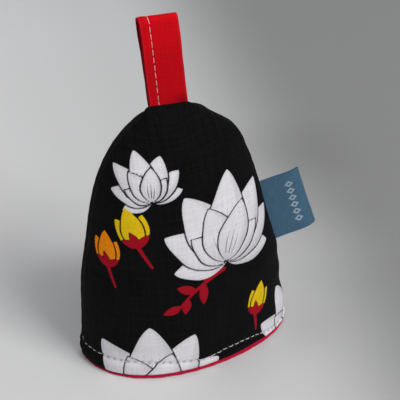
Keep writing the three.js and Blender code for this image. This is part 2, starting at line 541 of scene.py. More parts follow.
@dataclass(frozen=True)
class WovenRibbon(Finish):
    """Satin-woven ribbon with a plain column of pale lozenges.

    Attributes:
        blue: The ribbon.
        dark: Between its ribs and on its edges.
        pale: The lozenges' thread.
        rib: Pitch of the ribs.
        lozenge: Half a lozenge, out from the seam and down the ribbon.
        column: The lozenges' middle, out from the seam.
        period: From one lozenge to the next.
        ends: Where the column starts and ends, down the ribbon.
        outline: Where a lozenge's line runs, as a share of its size, and half its width.
    """

    name: str = "woven_ribbon"
    blue: Colour = (75, 113, 139)
    dark: Colour = (53, 86, 110)
    pale: Colour = (176, 196, 208)
    rib: float = 0.33
    lozenge: Spot = (1.7, 1.426)
    column: float = 11.6
    period: float = 3.3
    ends: Spot = (3.3, 23.1)
    outline: Spot = (0.72, 0.30)

    def paint(self, pen: NodePen) -> None:
        """Adds the nodes, which read the attribute cloth: out from the seam and down.

        Args:
            pen: Pen on the material's empty tree.
        """
        where = pen.attribute("cloth")
        u, v, edge = pen.split(where)
        fine = pen.noise(where, (2.4, 0.25, 1.0))
        ribs = pen.math("SINE", pen.times(v, 2 * math.pi / self.rib))
        cross = pen.math("SINE", pen.times(u, 2 * math.pi / (self.rib * 1.6)))
        height = pen.math("MULTIPLY_ADD", ribs, 0.35, pen.math("MULTIPLY_ADD", cross, 0.12, fine))
        colour = pen.blend(pen.between(height, 0.1, 0.95), linear(self.dark), linear(self.blue))
        row = pen.math("MODULO", pen.math("ADD", v, 40 * self.period), self.period)
        out = pen.math("DIVIDE", pen.off(u, self.column), self.lozenge[0])
        down = pen.math("DIVIDE", pen.off(row, self.period / 2), self.lozenge[1])
        line, half = self.outline
        ring = pen.math("SUBTRACT", half, pen.off(pen.math("ADD", out, down), line))
        start, end = self.ends
        inside = pen.times(pen.math("GREATER_THAN", v, start), pen.math("LESS_THAN", v, end))
        woven = pen.times(pen.between(ring, -0.08, 0.12), inside)
        woven = pen.times(woven, pen.between(ribs, -0.9, 0.5, (0.45, 0.9)))
        colour = pen.blend(woven, colour, linear(self.pale))
        raised = pen.math("ADD", height, pen.times(woven, 0.8))
        pen.surface(
            {
                "Base Color": pen.blend(pen.times(edge, 0.3), colour, linear(self.dark)),
                "Roughness": pen.between(height, 0.0, 1.0, (0.66, 0.5)),
                "Specular IOR Level": 0.35,
                "Sheen Weight": 0.05,
                "Sheen Roughness": 0.4,
                "Normal": pen.bump(raised, 0.8, 0.03),
            }
        )


@dataclass(frozen=True)
class SewingThread(Finish):
    """White cotton sewing thread with its twist.

    Attributes:
        colour: The thread.
        hollow: Between its strands.
        twist: How fine the strands are, for each metre.
    """

    name: str = "sewing_thread"
    colour: Colour = (238, 236, 236)
    hollow: Colour = (190, 186, 188)
    twist: float = 5200.0

    def paint(self, pen: NodePen) -> None:
        """Adds the nodes, on Object coordinates.

        Args:
            pen: Pen on the material's empty tree.
        """
        grain = pen.noise(pen.object_place(), (self.twist, self.twist, self.twist * 0.4))
        strand = pen.between(grain, 0.3, 0.6)
        pen.surface(
            {
                "Base Color": pen.blend(strand, linear(self.hollow), linear(self.colour)),
                "Roughness": pen.between(grain, 0.2, 0.8, (0.75, 0.6)),
                "Specular IOR Level": 0.3,
                "Sheen Weight": 0.1,
                "Normal": pen.bump(grain, 0.7, 0.05),
            }
        )


@dataclass(frozen=True)
class PaperWithPaintedLight(Finish):
    """Matt pale paper with painted light: its tone falls off to a deeper grey on the right and has
    soft painted pools of light and shadow. Places are in metres.

    Attributes:
        colour: The pale side.
        deep: Share of that tone which is left on the right, where the light is painted as falling
            off.
        left: Where the gradient is palest.
        start: Where it begins to deepen.
        end: Where it is deepest.
        spread: How much further off that is with each metre towards the back.
        slant: Shift of the gradient with each metre towards the back.
        rise: Tone where it is palest, and where it begins to deepen.
        far: Share by which the paper is painted paler towards the back, as painted light.
        behind: From where to where it does.
        painted_light_pools: Soft round patches of painted light and painted shadow, the third a
            contact shadow beside the hem: x, y, radius, and the share.
        grain: How fine the paper's surface is.
    """

    name: str = "paper_with_painted_light"
    colour: Colour = (216, 216, 216)
    deep: float = 0.44
    left: float = -0.05
    start: float = 0.0094
    end: float = 0.098
    spread: float = 0.04
    slant: float = -0.0965
    rise: Spot = (1.12, 0.98)
    far: float = 0.127
    behind: Spot = (0.05, 0.25)
    painted_light_pools: tuple[tuple[float, float, float, float], ...] = (
        (0.080, 0.103, 0.042, -0.17),
        (0.068, 0.034, 0.035, 0.12),
        (0.033, -0.010, 0.026, -0.13),
        (-0.030, 0.070, 0.028, 0.10),
    )
    grain: float = 900.0

    def paint(self, pen: NodePen) -> None:
        """Adds the nodes, on Object coordinates.

        Args:
            pen: Pen on the material's empty tree.
        """
        where = pen.object_place()
        x, y, _ = pen.split(where)
        along = pen.math("MULTIPLY_ADD", y, self.slant, x)
        deepest = pen.math("MULTIPLY_ADD", y, self.spread, self.end)
        tone = pen.between(pen.noise(where, (3.0, 3.0, 3.0)), 0.3, 0.7, (0.985, 1.015))
        # Painted light: the tone falls off to the right and grows towards the back.
        for part in (
            pen.between(along, self.left, self.start, self.rise),
            pen.between(along, self.start, deepest, (1.0, self.deep), Ease.SOFTER),
            pen.between(y, *self.behind, (1.0, 1.0 + self.far)),
        ):
            tone = pen.times(tone, part)
        # Painted pools of light and shadow on the paper.
        for pool_x, pool_y, radius, share in self.painted_light_pools:
            spot = {0: where, 1: (pool_x, pool_y, 0.0)}
            off = pen.add("ShaderNodeVectorMath", spot, operation="DISTANCE").outputs["Value"]
            tone = pen.times(tone, pen.between(off, radius, 0.0, (1.0, 1.0 + share), Ease.SOFT))
        fine = pen.noise(where, (self.grain, self.grain, self.grain))
        pen.surface(
            {
                "Base Color": pen.toned(linear(self.colour), tone),
                "Roughness": pen.between(fine, 0.3, 0.7, (0.62, 0.7)),
                "Specular IOR Level": 0.25,
                "Normal": pen.bump(fine, 0.15, 0.1),
            }
        )


# --- The cover's form ---


FINE_COLUMNS = 800  # steps in which a panel's width is walked
FINE_LEVELS = 1200  # steps in which its height is
RIDGE_WAY = (0.5, 0.85)  # the way out at the ridge: to the panel's own side, and up


class Side(Enum):
    """The two faces of the cosy, each with the sign of its Y."""

    FRONT = -1
    BACK = 1

    def named(self, part: str) -> str:
        """Name of this side's part."""
        return f"{self.name.lower()}_{part}"


@dataclass(frozen=True)
class Ring:
    """One level of the cover: height, reach to both seams, depth of both panels."""

    height: float
    left: float
    right: float
    front: float
    back: float


@dataclass(frozen=True)
class Kink:
    """A soft corner of the seams: height, reach, and how far each seam shifts to the right."""

    height: float
    reach: float
    left: float = 0.0
    right: float = 0.0


@dataclass
class CosyForm:
    """The cover's outer face, which every cloth layer follows at its own depth.

    Attributes:
        rings: The levels from the mouth up.
        ridge_height: Height of the top seam.
        ridge_centre: Its middle, across.
        lens_power: How strongly the panels are pinched together at the seams.
        front_skew: How far the front panel bellies to the left at the mouth.
        front_corners: How far it fills out towards both seams there.
        seam_gap: From the seam plane to each panel's edge.
        shows: The lining's show under the hem, at even steps from the left seam to the right one
            and one step on.
        kinks: Soft corners of the seams.
        grain: The cloth's grain line, across.
        close_columns: Reach of the closer columns beside a seam.
        close_levels: Reach of the closer levels at the hem and the ridge.
        belly_up: The level at which a panel's width is walked.
        origin_x: The table's zero in the frame.
        seam_y: The seam plane in the frame.
    """

    rings: tuple[Ring, ...] = (
        Ring(0.0, -39.4, 40.2, 23.7, 22.4),
        Ring(16.0, -38.7, 37.7, 23.5, 22.4),
        Ring(33.0, -38.3, 35.7, 22.7, 21.8),
        Ring(50.0, -35.8, 31.2, 20.9, 20.3),
        Ring(65.0, -33.6, 27.3, 18.2, 17.8),
        Ring(77.0, -30.3, 23.4, 14.7, 14.4),
        Ring(87.0, -25.1, 18.1, 10.4, 10.2),
        Ring(94.5, -18.2, 8.3, 5.8, 5.7),
        Ring(97.9, -12.3, 1.8, 2.3, 2.3),
    )
    ridge_height: float = 99.0
    ridge_centre: float = -5.8
    lens_power: float = 1.13
    front_skew: float = 0.17
    front_corners: float = -0.12
    seam_gap: float = 0.15
    shows: tuple[float, ...] = (0.55, 1.42, 1.7, 1.9, 2.0, 0.5, 0.4)
    kinks: tuple[Kink, ...] = (
        Kink(height=3.5, reach=2.5, left=-0.42),
        Kink(height=8.8, reach=4.2, right=0.8),
        Kink(height=23.0, reach=3.0, right=0.4),
        Kink(height=33.5, reach=3.0, right=0.3),
        Kink(height=83.0, reach=3.2, right=0.3),
        Kink(height=91.4, reach=2.6, right=-0.5),
    )
    grain: float = -2.0
    close_columns: float = 3.0
    close_levels: float = 5.0
    belly_up: float = 0.3
    origin_x: float = 0.0
    seam_y: float = 0.0

    def place(self) -> CosyForm:
        """Reads where the panels lie in the frame.

        Returns:
            The form itself.
        """
        front_low, front_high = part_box("front_panel")
        back_low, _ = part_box("back_panel")
        self.origin_x = front_low.x / MM - self.rings[0].left
        self.seam_y = (front_high.y + back_low.y) / 2 / MM
        return self

    def table(self) -> Array:
        """The form's levels as rows of left, right, height, front depth and back depth.

        Returns:
            The rings, the ridge and the last ring mirrored past it.
        """
        rows = [[r.left, r.right, r.height, r.front, r.back] for r in self.rings]
        left, right, height, front, back = rows[-1]
        over = 2 * self.ridge_centre
        rows.append([self.ridge_centre, self.ridge_centre, self.ridge_height, 0.0, 0.0])
        rows.append([over - left, over - right, height, -front, -back])
        return np.array(rows)

    def show(self, across: Array) -> Array:
        """How much lining shows under the hem, from the left seam, -1, to the right one, 1."""
        return smooth_along(self.shows, across)

    def point(self, up: Array, turn: Array, side: Side, inset: Any, base: Any) -> Array:
        """Points at a depth under the outer face.

        Args:
            up: 0 at the mouth, 1 at the ridge.
            turn: 0 at the left seam, pi at the right one.
            side: Front or back.
            inset: Depth under the outer face.
            base: Height at which the layer starts.

        Returns:
            Points in the frame, in millimetres.
        """
        up, turn = np.broadcast_arrays(np.asarray(up, float), np.asarray(turn, float))
        ring = smooth_through(self.table(), up * len(self.rings))
        left, right, height = ring[..., 0], ring[..., 1], ring[..., 2]
        for kink in self.kinks:
            near = hump(height, kink.height, kink.reach)
            left, right = left + kink.left * near, right + kink.right * near
        mouth = self.rings[0]
        mouth_half = (mouth.right - mouth.left) / 2
        across = -np.cos(turn)
        if side is Side.FRONT:
            depth, mouth_depth = ring[..., 3], mouth.front
            fade = 1 - height / self.ridge_height
            belly = 1 - fade * (self.front_skew * across + self.front_corners * across**2)
        else:
            depth, mouth_depth, belly = ring[..., 4], mouth.back, 1.0
        bulge = depth * np.maximum(np.sin(turn), 0) ** self.lens_power * belly
        reach = (right - left) / 2 * across * (mouth_half - inset) / mouth_half
        out = self.seam_gap + bulge * (mouth_depth - inset) / mouth_depth
        raised = (self.ridge_height - inset) * (1 - base / self.ridge_height) / self.ridge_height
        x = self.origin_x + (left + right) / 2 + reach
        y = self.seam_y + side.value * out
        return np.stack([x, y, base + height * raised], axis=-1)

    def columns(self, side: Side, count: int, extra: float = 1.2) -> Array:
        """Turns spread evenly over a panel's width, closer together at both seams.

        Args:
            side: Front or back.
            count: Faces across.
            extra: How many times closer there, less one.

        Returns:
            count + 1 turns from 0 to pi.
        """
        fine = np.linspace(0, math.pi, FINE_COLUMNS + 1)
        walked = run_length(self.point(self.belly_up, fine, side, 0.0, 0.0), 0)
        places = spaced(walked[-1], count, self.close_columns, extra)
        return np.interp(places, walked, fine)

    def levels(self, side: Side, count: int, start: float, extra: float = 0.8) -> Array:
        """Levels spread evenly from a height up to the ridge, closer together at both ends.

        Args:
            side: Front or back.
            count: Faces up.
            start: Height of the first level.
            extra: How many times closer there, less one.

        Returns:
            count + 1 levels, the last one 1.
        """
        fine = np.linspace(0, 1, FINE_LEVELS + 1)
        edge = self.point(fine, 0.0, side, 0.0, 0.0)
        middle = self.point(fine, math.pi / 2, side, 0.0, 0.0)
        walked = (run_length(middle, 0) + run_length(edge, 0)) / 2
        low = np.interp(np.interp(start, edge[:, 2], fine), fine, walked)
        places = low + spaced(walked[-1] - low, count, self.close_levels, extra)
        return np.interp(places, walked, fine)


@dataclass
class ClothPatch:
    """A grid of one face of a panel, from the hem up to the ridge, with its cloth coordinates.

    Attributes:
        points: Grid of points, whose last row is the ridge point repeated.
        u: Distance across the cloth from the grain line.
        v: Distance up the cloth from the hem edge.
        seam: Distance to the nearest sewn edge.
        walk: Distance along that edge from the mouth.
        across: -1 at the left seam to 1 at the right one.
    """

    points: Array
    u: Array
    v: Array
    seam: Array
    walk: Array
    across: Array

    @classmethod
    def lay(
        cls, form: CosyForm, side: Side, ups: Array, turns: Array, inset: float, start: float
    ) -> ClothPatch:
        """Lays the grid on the form.

        Args:
            form: The cover's form.
            side: Front or back.
            ups: Levels, the last one 1.
            turns: Columns, 0 to pi.
            inset: Depth under the outer face.
            start: From the hem edge to the first level, along the cloth.

        Returns:
            The patch.
        """
        base = form.show(-np.cos(turns))[None, :]
        points = form.point(ups[:, None], turns[None, :], side, inset, base)
        points[-1] = points[-1].mean(axis=0)
        around = run_length(points, 1)
        grain = form.origin_x + form.grain
        middle = np.array(
            [np.interp(grain, row[:, 0], walked) for row, walked in zip(points, around)]
        )
        u = around - middle[:, None]
        u[-1] = 0.0
        upright = points * np.array([0.0, 1.0, 1.0])
        v = run_length(upright, 0) + start
        climbed = run_length(points, 0)
        edge_walk = (climbed[:, [0]] + climbed[:, [-1]]) / 2
        seam = np.minimum(around, around[:, [-1]] - around)
        seam = np.minimum(seam, np.maximum(v[-1:] - v, 0))
        across = np.broadcast_to(-np.cos(turns)[None, :], u.shape)
        return cls(points, u, v, seam, np.broadcast_to(edge_walk, u.shape), across)

    def outward(self, side: Side) -> Array:
        """Unit normals of the grid, away from the cosy's inside.

        Args:
            side: Front or back.

        Returns:
            One normal for each point.
        """
        along = np.gradient(self.points, axis=1)
        rise = np.gradient(self.points, axis=0)
        normal = np.cross(along, rise) * -side.value
        size = np.linalg.norm(normal, axis=-1, keepdims=True)
        normal = np.where(size > TINY, normal / np.maximum(size, TINY), [0.0, 0.0, 1.0])
        normal[-1] = [0.0, side.value * RIDGE_WAY[0], RIDGE_WAY[1]]
        return normal


# --- Mesh building ---


SEAM_WEAR = 0.9  # how far from a sewn edge the cloth is worn
HEM_WEAR = 1.0  # how far from the hem's edge it is


@dataclass
class MeshParts:
    """Vertices, faces and cloth attributes of a piece that is being put together."""

    points: list[Array] = field(default_factory=list)
    cloth: list[Array] = field(default_factory=list)
    faces: list[tuple[int, ...]] = field(default_factory=list)
    count: int = 0

    def take(self, points: Array, cloth: Array) -> Array:
        """Adds a grid of points.

        Args:
            points: Grid of points, coordinates last.
            cloth: Their cloth coordinates: u, v and closeness to an edge, which is below 0 where
                shade is painted.

        Returns:
            The new vertices' numbers, in the grid's shape.
        """
        flat = points.reshape(-1, 3)
        self.points.append(flat)
        self.cloth.append(np.broadcast_to(cloth, points.shape).reshape(-1, 3))
        numbers = np.arange(self.count, self.count + len(flat)).reshape(points.shape[:-1])
        self.count += len(flat)
        return numbers

    def quads(self, grid: Array) -> None:
        """Adds the faces over a grid of vertex numbers."""
        quads = np.stack([grid[:-1, :-1], grid[:-1, 1:], grid[1:, 1:], grid[1:, :-1]], axis=-1)
        self.faces.extend(map(tuple, quads.reshape(-1, 4).tolist()))

    def fan(self, row: Array, tip: int) -> None:
        """Adds the triangles from a row of vertices to one."""
        self.faces.extend((int(a), int(b), tip) for a, b in zip(row[:-1], row[1:]))

    def zip(self, one: Array, other: Array) -> None:
        """Adds the triangles between two lines that may have different numbers of points.

        Args:
            one: Vertex numbers of the first line.
            other: Those of the second one, which runs the same way.
        """
        at_one, at_other = np.linspace(0, 1, len(one)), np.linspace(0, 1, len(other))
        i = j = 0
        while i < len(one) - 1 or j < len(other) - 1:
            end = j == len(other) - 1
            if end or (i < len(one) - 1 and at_one[i + 1] <= at_other[j + 1]):
                self.faces.append((int(one[i]), int(one[i + 1]), int(other[j])))
                i += 1
            else:
                self.faces.append((int(one[i]), int(other[j + 1]), int(other[j])))
                j += 1

    def finish(self, name: str, extras: dict[str, Array] | None = None) -> Piece:
        """Makes the object.

        Args:
            name: The piece's name.
            extras: More vector attributes of each vertex, by name.

        Returns:
            The object in the scene, smooth and with its faces outwards.
        """
        mesh = bpy.data.meshes.new(name)
        mesh.from_pydata((np.vstack(self.points) * MM).tolist(), [], self.faces)
        attributes = {"cloth": np.vstack(self.cloth), **(extras or {})}
        for key, values in attributes.items():
            add_vectors(mesh, key, values)
        shape = bmesh.new()
        shape.from_mesh(mesh)
        bmesh.ops.recalc_face_normals(shape, faces=shape.faces)
        if shape.calc_volume(signed=True) < 0:
            bmesh.ops.reverse_faces(shape, faces=shape.faces)
        open_edges = sum(1 for edge in shape.edges if not edge.is_manifold)
        shape.to_mesh(mesh)
        shape.free()
        mesh.shade_smooth()
        LOG.info("%s: %d vertices, %d open edges", name, len(mesh.vertices), open_edges)
        return put_in_scene(name, mesh)


def cloth_of(patch: ClothPatch) -> Array:
    """For each point of a patch u, v and the closeness to a sewn edge or the hem."""
    near = np.maximum(hump(patch.seam, 0.0, SEAM_WEAR), hump(patch.v, 0.0, HEM_WEAR))
    return np.stack([patch.u, patch.v, near], axis=-1)


def closed_sheet(
    parts: MeshParts, outer: ClothPatch, inner: ClothPatch, rim: Array, rim_cloth: Array
) -> None:
    """Joins an outer face, a rolled hem edge and a coarser inner face into one closed sheet.

    Args:
        parts: Where the mesh is put together.
        outer: The outer face.
        inner: The inner face.
        rim: Rows of the hem edge, from the outer face to the inner one.
        rim_cloth: Their cloth coordinates.
    """
    face = parts.take(outer.points[:-1], cloth_of(outer)[:-1])
    tip = parts.take(outer.points[-1:, :1], cloth_of(outer)[-1:, :1])
    roll = parts.take(rim, rim_cloth)
    lining = parts.take(inner.points[:-1], cloth_of(inner)[:-1])
    root = parts.take(inner.points[-1:, :1], cloth_of(inner)[-1:, :1])
    parts.quads(face)
    parts.fan(face[-1], int(tip[0, 0]))
    parts.quads(np.vstack([face[:1], roll]))
    parts.quads(lining)
    parts.fan(lining[-1], int(root[0, 0]))
    parts.zip(roll[-1], lining[0])
    for column in (0, -1):
        outside = np.concatenate([tip[0], face[::-1, column]])
        inside = np.concatenate([root[0], lining[::-1, column]])
        parts.zip(outside, inside)
        parts.fan(np.concatenate([[face[0, column]], roll[:, column]]), int(lining[0, column]))


# --- The print ---


INKS = ("white", "red", "yellow", "orange")
PRINT_LAYERS = ("print_a", "print_b")  # attributes that hold the inks, the shade and the nearness to needle holes, which sets the shade painted into them
NO_INK = -60.0  # signed distance where there is no ink near
INK_REACH = 4.0  # furthest distance that is stored
STROKE_STEPS = 14


@dataclass
class InkLayers:
    """Signed distances to each ink's edge over the cloth, positive inside, in millimetres.

    The gap is the ground that is left between two shapes in one ink.
    """

    u: Array
    v: Array
    gap: float = 0.55

    def __post_init__(self) -> None:
        """Starts with no ink anywhere."""
        self.inks = {name: np.full(self.u.shape, NO_INK) for name in INKS}
        self.shade = np.zeros(self.u.shape)

    def lay(self, ink: str, shape: Array, apart: bool = True) -> None:
        """Prints one shape.

        Args:
            ink: The ink's name.
            shape: Signed distance to the shape's edge.
            apart: Whether a line of ground parts it from the same ink under it.
        """
        under = self.inks[ink]
        if apart:
            under = np.minimum(under, -(shape + self.gap))
        self.inks[ink] = np.maximum(under, shape)

    def spare(self, ink: str, shape: Array) -> None:
        """Leaves the ground bare in a shape, given as its signed distance."""
        self.inks[ink] = np.minimum(self.inks[ink], -shape)


@dataclass(frozen=True)
class Petal:
    """One petal or leaf, drawn from its root.

    Attributes:
        angle: Direction, clockwise from straight up the cloth, in degrees.
        length: Root to tip.
        width: Across its widest place.
        bend: How far the tip lies to the side.
        point: Below 1 blunt, above 1 slender.
        belly: Below 1 widest near the root, above 1 near the tip.
        wave: How wavy its edge is.
    """

    angle: float
    length: float
    width: float
    bend: float = 0.0
    point: float = 0.75
    belly: float = 0.8
    wave: float = 0.03

    def drawn(
        self, ink: InkLayers, root: Spot, turn: float, scale: float
    ) -> tuple[Array, Array, Array]:
        """The petal on the cloth.

        Args:
            ink: The cloth's ink layers.
            root: Where it starts.
            turn: Added to its direction, in degrees.
            scale: Its size.

        Returns:
            Signed distance to its edge, the share along it and the share across it.
        """
        way = math.radians(self.angle + turn)
        du, dv = ink.u - root[0], ink.v - root[1]
        length = self.length * scale
        along = du * math.sin(way) + dv * math.cos(way)
        across = du * math.cos(way) - dv * math.sin(way)
        share = along / length
        across = across - self.bend * scale * np.clip(share, 0, 1.2) ** 2
        inside = np.clip(share, 1e-4, 1 - 1e-4)
        half = self.width * scale / 2 * np.sin(math.pi * inside**self.belly) ** self.point
        half = half * (1 + self.wave * np.sin(9 * inside + across * 0.4))
        reach = (half - np.abs(across)) / math.hypot(1.0, self.width / self.length * 0.8)
        before = -np.hypot(across, along)
        beyond = -np.hypot(across, along - length)
        reach = np.where(share < 0, before, np.where(share > 1, beyond, reach))
        return reach, inside, across / np.maximum(half, 0.3)


def pulled(start: Array, pull: Array, end: Array, at: float | Array) -> Array:
    """Points of a curve from start to end that is drawn towards pull, at shares of its way."""
    return (1 - at) ** 2 * start + 2 * at * (1 - at) * pull + at**2 * end


def stroke(ink: InkLayers, path: Sequence[Array], thick: float, thin: float) -> Array:
    """A tapering brush stroke.

    Args:
        ink: The cloth's ink layers.
        path: Start, pull and end of the stroke.
        thick: Half its width at the start.
        thin: Half its width at the end.

    Returns:
        Signed distance to its edge.
    """
    line = pulled(*path, np.linspace(0, 1, STROKE_STEPS + 1)[:, None])
    best = np.full(ink.u.shape, NO_INK)
    for number, (a, b) in enumerate(zip(line[:-1], line[1:])):
        reach = b - a
        du, dv = ink.u - a[0], ink.v - a[1]
        share = np.clip((du * reach[0] + dv * reach[1]) / max(reach @ reach, TINY), 0, 1)
        off = np.hypot(du - share * reach[0], dv - share * reach[1])
        half = thick + (thin - thick) * (number + share) / STROKE_STEPS
        best = np.maximum(best, half - off)
    return best


LILY_PETALS = (
    Petal(-80, 17, 9.5, bend=-3.5, belly=0.85),
    Petal(79, 18, 9.5, bend=3.5, belly=0.85),
    Petal(-54, 23, 12, bend=-2.5),
    Petal(56, 23, 12, bend=2.5),
    Petal(-28, 27, 13.5, bend=-1.0, point=0.72),
    Petal(30, 26, 13.5, bend=1.4, point=0.72),
    Petal(2, 28, 14, bend=0.6, point=0.7),
    Petal(-43, 15, 9, bend=-2.0, point=0.8),
    Petal(45, 15, 9, bend=2.0, point=0.8),
    Petal(-15, 19, 11, bend=-1.0, point=0.78),
    Petal(18, 18.5, 10.5, bend=1.0, point=0.78),
)

BUD_PETALS = (
    Petal(-20, 12.5, 7.0, bend=-0.8, point=0.8, belly=0.85),
    Petal(20, 12.5, 7.0, bend=0.8, point=0.8, belly=0.85),
    Petal(0, 15.0, 8.0, point=0.82, belly=0.8),
)


@dataclass(frozen=True)
class Motif:
    """Something printed on the cloth.

    Attributes:
        root: Where it starts.
        turn: Its direction, clockwise from straight up the cloth, in degrees.
        size: Its scale.
    """

    root: Spot
    turn: float
    size: float

    def ahead(self) -> Array:
        """The motif's own way ahead."""
        way = math.radians(self.turn)
        return np.array([math.sin(way), math.cos(way)])

    def print_on(self, ink: InkLayers) -> None:
        """Prints the motif on the ink layers."""
        raise NotImplementedError


@dataclass(frozen=True)
class Lily(Motif):
    """An open water lily, seen from the side.

    Attributes:
        veins: Where each vein runs across a petal, and where along it the vein ends.
        vein: Half its width at the root.
        hollow: Shade at a petal's root.
        rim: Shade inside its edge.
        turned: Shade on its right half.
    """

    veins: tuple[Spot, ...] = ((-0.36, 0.52), (0.34, 0.46), (0.0, 0.62))
    vein: float = 0.24
    hollow: float = 0.34
    rim: float = 0.20
    turned: float = 0.42

    def print_on(self, ink: InkLayers) -> None:
        """Prints its petals from the back ones to the front ones, with fine veins.

        Args:
            ink: The cloth's ink layers.
        """
        for petal in LILY_PETALS:
            shape, along, across = petal.drawn(ink, self.root, self.turn, self.size)
            ink.lay("white", shape)
            hollow = self.hollow * np.clip(1 - along * 2.1, 0, 1) ** 1.3
            rim = self.rim * hump(np.maximum(shape, 0), 0.0, 0.8)
            turned = self.turned * smoothstep(across, 0.30, 1.0) * (1 - 0.5 * along)
            painted = np.maximum(np.maximum(hollow, rim), turned)
            ink.shade = np.where(shape > -0.1, painted, ink.shade)
            half = max(petal.width * self.size / 2, 1.0)
            inked = (shape > 0.4) & (along > 0.1)
            for place, end in self.veins:
                taper = self.vein * np.clip(1 - along / end, 0, 1) ** 0.6
                vein = taper - np.abs(across - place) * half
                ink.spare("white", np.where(inked, vein, NO_INK))


@dataclass(frozen=True)
class Bud(Motif):
    """A closed bud: the ink of its petals, its leaves' directions and half its stem's width."""

    ink: str = "yellow"
    leaves: tuple[float, ...] = (-46, 46, -4)
    stem: Spot = (0.75, 0.4)

    def print_on(self, ink: InkLayers) -> None:
        """Prints the bud, its cup and its stem.

        Args:
            ink: The cloth's ink layers.
        """
        for petal in BUD_PETALS:
            ink.lay(self.ink, petal.drawn(ink, self.root, self.turn, self.size)[0])
        for angle in self.leaves:
            leaf = Petal(angle, 6.2, 2.7, bend=math.copysign(0.9, angle), point=0.9, belly=0.9)
            shape = leaf.drawn(ink, self.root, self.turn, self.size)[0]
            ink.lay("red", shape, apart=False)
            ink.spare(self.ink, shape + 0.25)
        start, back = np.array(self.root), -self.ahead() * self.size
        path = (start, start + 4 * back + [1.0, 0.0], start + 8 * back + [2.4, 0.0])
        ink.lay("red", stroke(ink, path, *self.stem), apart=False)


@dataclass(frozen=True)
class Sprig(Motif):
    """A red stem with small pointed leaves in turn to both sides.

    Attributes:
        leaves: Each one's place along the stem, direction and length.
        stem: Half the stem's width at both ends.
    """

    leaves: tuple[Triple, ...] = (
        (0.22, 50, 8.0),
        (0.42, -50, 8.5),
        (0.6, 44, 7.5),
        (0.8, -40, 6.5),
        (0.98, 4, 7.0),
    )
    stem: Spot = (0.85, 0.4)

    def print_on(self, ink: InkLayers) -> None:
        """Prints the stem and its leaves.

        Args:
            ink: The cloth's ink layers.
        """
        start, ahead = np.array(self.root), self.ahead()
        aside = np.array([ahead[1], -ahead[0]])
        path = (start, start + (ahead * 10 + aside * 3) * self.size, start + ahead * 20 * self.size)
        ink.lay("red", stroke(ink, path, *self.stem), apart=False)
        for at, angle, length in self.leaves:
            leaf = Petal(angle, length, 3.5, bend=math.copysign(0.8, angle), point=0.9, belly=0.9)
            shape = leaf.drawn(ink, tuple(pulled(*path, at)), self.turn, self.size)[0]
            ink.lay("red", shape, apart=False)


PRINTS: dict[Side, tuple[Motif, ...]] = {
    Side.FRONT: (
        Sprig((9.5, 40), -122, 1.0),
        Lily((11, 43), 2, 1.16),
        Lily((-17, -13), -6, 1.25),
        Lily((49, -8), -24, 1.0),
        Lily((-15, 71), -16, 0.62),
        Bud((-21, 54), -14, 1.0, "yellow"),
        Bud((-33, 45), -2, 0.9, "orange"),
        Bud((24, 14), 16, 0.9, "yellow"),
    ),
    Side.BACK: (
        Sprig((-20, 34), 118, 1.0),
        Lily((-11, 36), -6, 1.15),
        Lily((31, -12), 8, 1.2),
        Lily((8, 73), 14, 0.62),
        Lily((-36, -14), 34, 0.95),
        Bud((19, 56), 12, 1.0, "yellow"),
        Bud((31, 47), 4, 0.9, "orange"),
        Bud((15, 20), 14, 0.9, "yellow"),
    ),
}


def printed(side: Side, cloth: Array, pits: Array) -> dict[str, Array]:
    """The print at each vertex.

    Args:
        side: Which panel.
        cloth: Cloth coordinates of each vertex.
        pits: Its nearness to a needle hole, which sets the shade painted into the hole.

    Returns:
        The vector attributes that the printed cotton reads.
    """
    ink = InkLayers(cloth[:, 0].astype(float), cloth[:, 1].astype(float))
    for motif in PRINTS[side]:
        motif.print_on(ink)
    held = [np.clip(ink.inks[name], -INK_REACH, INK_REACH) for name in INKS]
    layers = np.split(np.stack([*held, ink.shade, pits], axis=-1), len(PRINT_LAYERS), axis=-1)
    return dict(zip(PRINT_LAYERS, layers))


# --- Relief of the sewn cloth ---


@dataclass(frozen=True)
class Ripple:
    """An uneven wave along a length: one whose pitch wanders, and a finer one over it.

    Attributes:
        height: Height of the first wave.
        turn: How far it turns with each millimetre.
        sway: How far its pitch wanders, and over how many millimetres.
        over: Height, turn and start of the finer wave.
    """

    height: float
    turn: float
    sway: Spot
    over: Triple = (0.0, 0.0, 0.0)

    def at(self, walk: Array) -> Array:
        """Its height along the length.

        Args:
            walk: Places along the length.

        Returns:
            The height at each.
        """
        wander, reach = self.sway
        height, turn, start = self.over
        wave = self.height * np.sin(walk * self.turn + wander * np.sin(walk / reach))
        return wave + height * np.sin(walk * turn + start)


@dataclass(frozen=True)
class Dent:
    """A soft hollow or swelling: its middle, height, two reaches and their turn in degrees."""

    u: float
    v: float
    height: float
    across: float
    up: float
    turn: float = 0.0

    def at(self, u: Array, v: Array) -> Array:
        """Its height on the cloth.

        Args:
            u: Places across the cloth.
            v: Places up the cloth.

        Returns:
            The height at each.
        """
        way = math.radians(self.turn)
        along = (u - self.u) * math.cos(way) + (v - self.v) * math.sin(way)
        aside = -(u - self.u) * math.sin(way) + (v - self.v) * math.cos(way)
        return self.height * np.exp(-((along / self.across) ** 2) - (aside / self.up) ** 2)


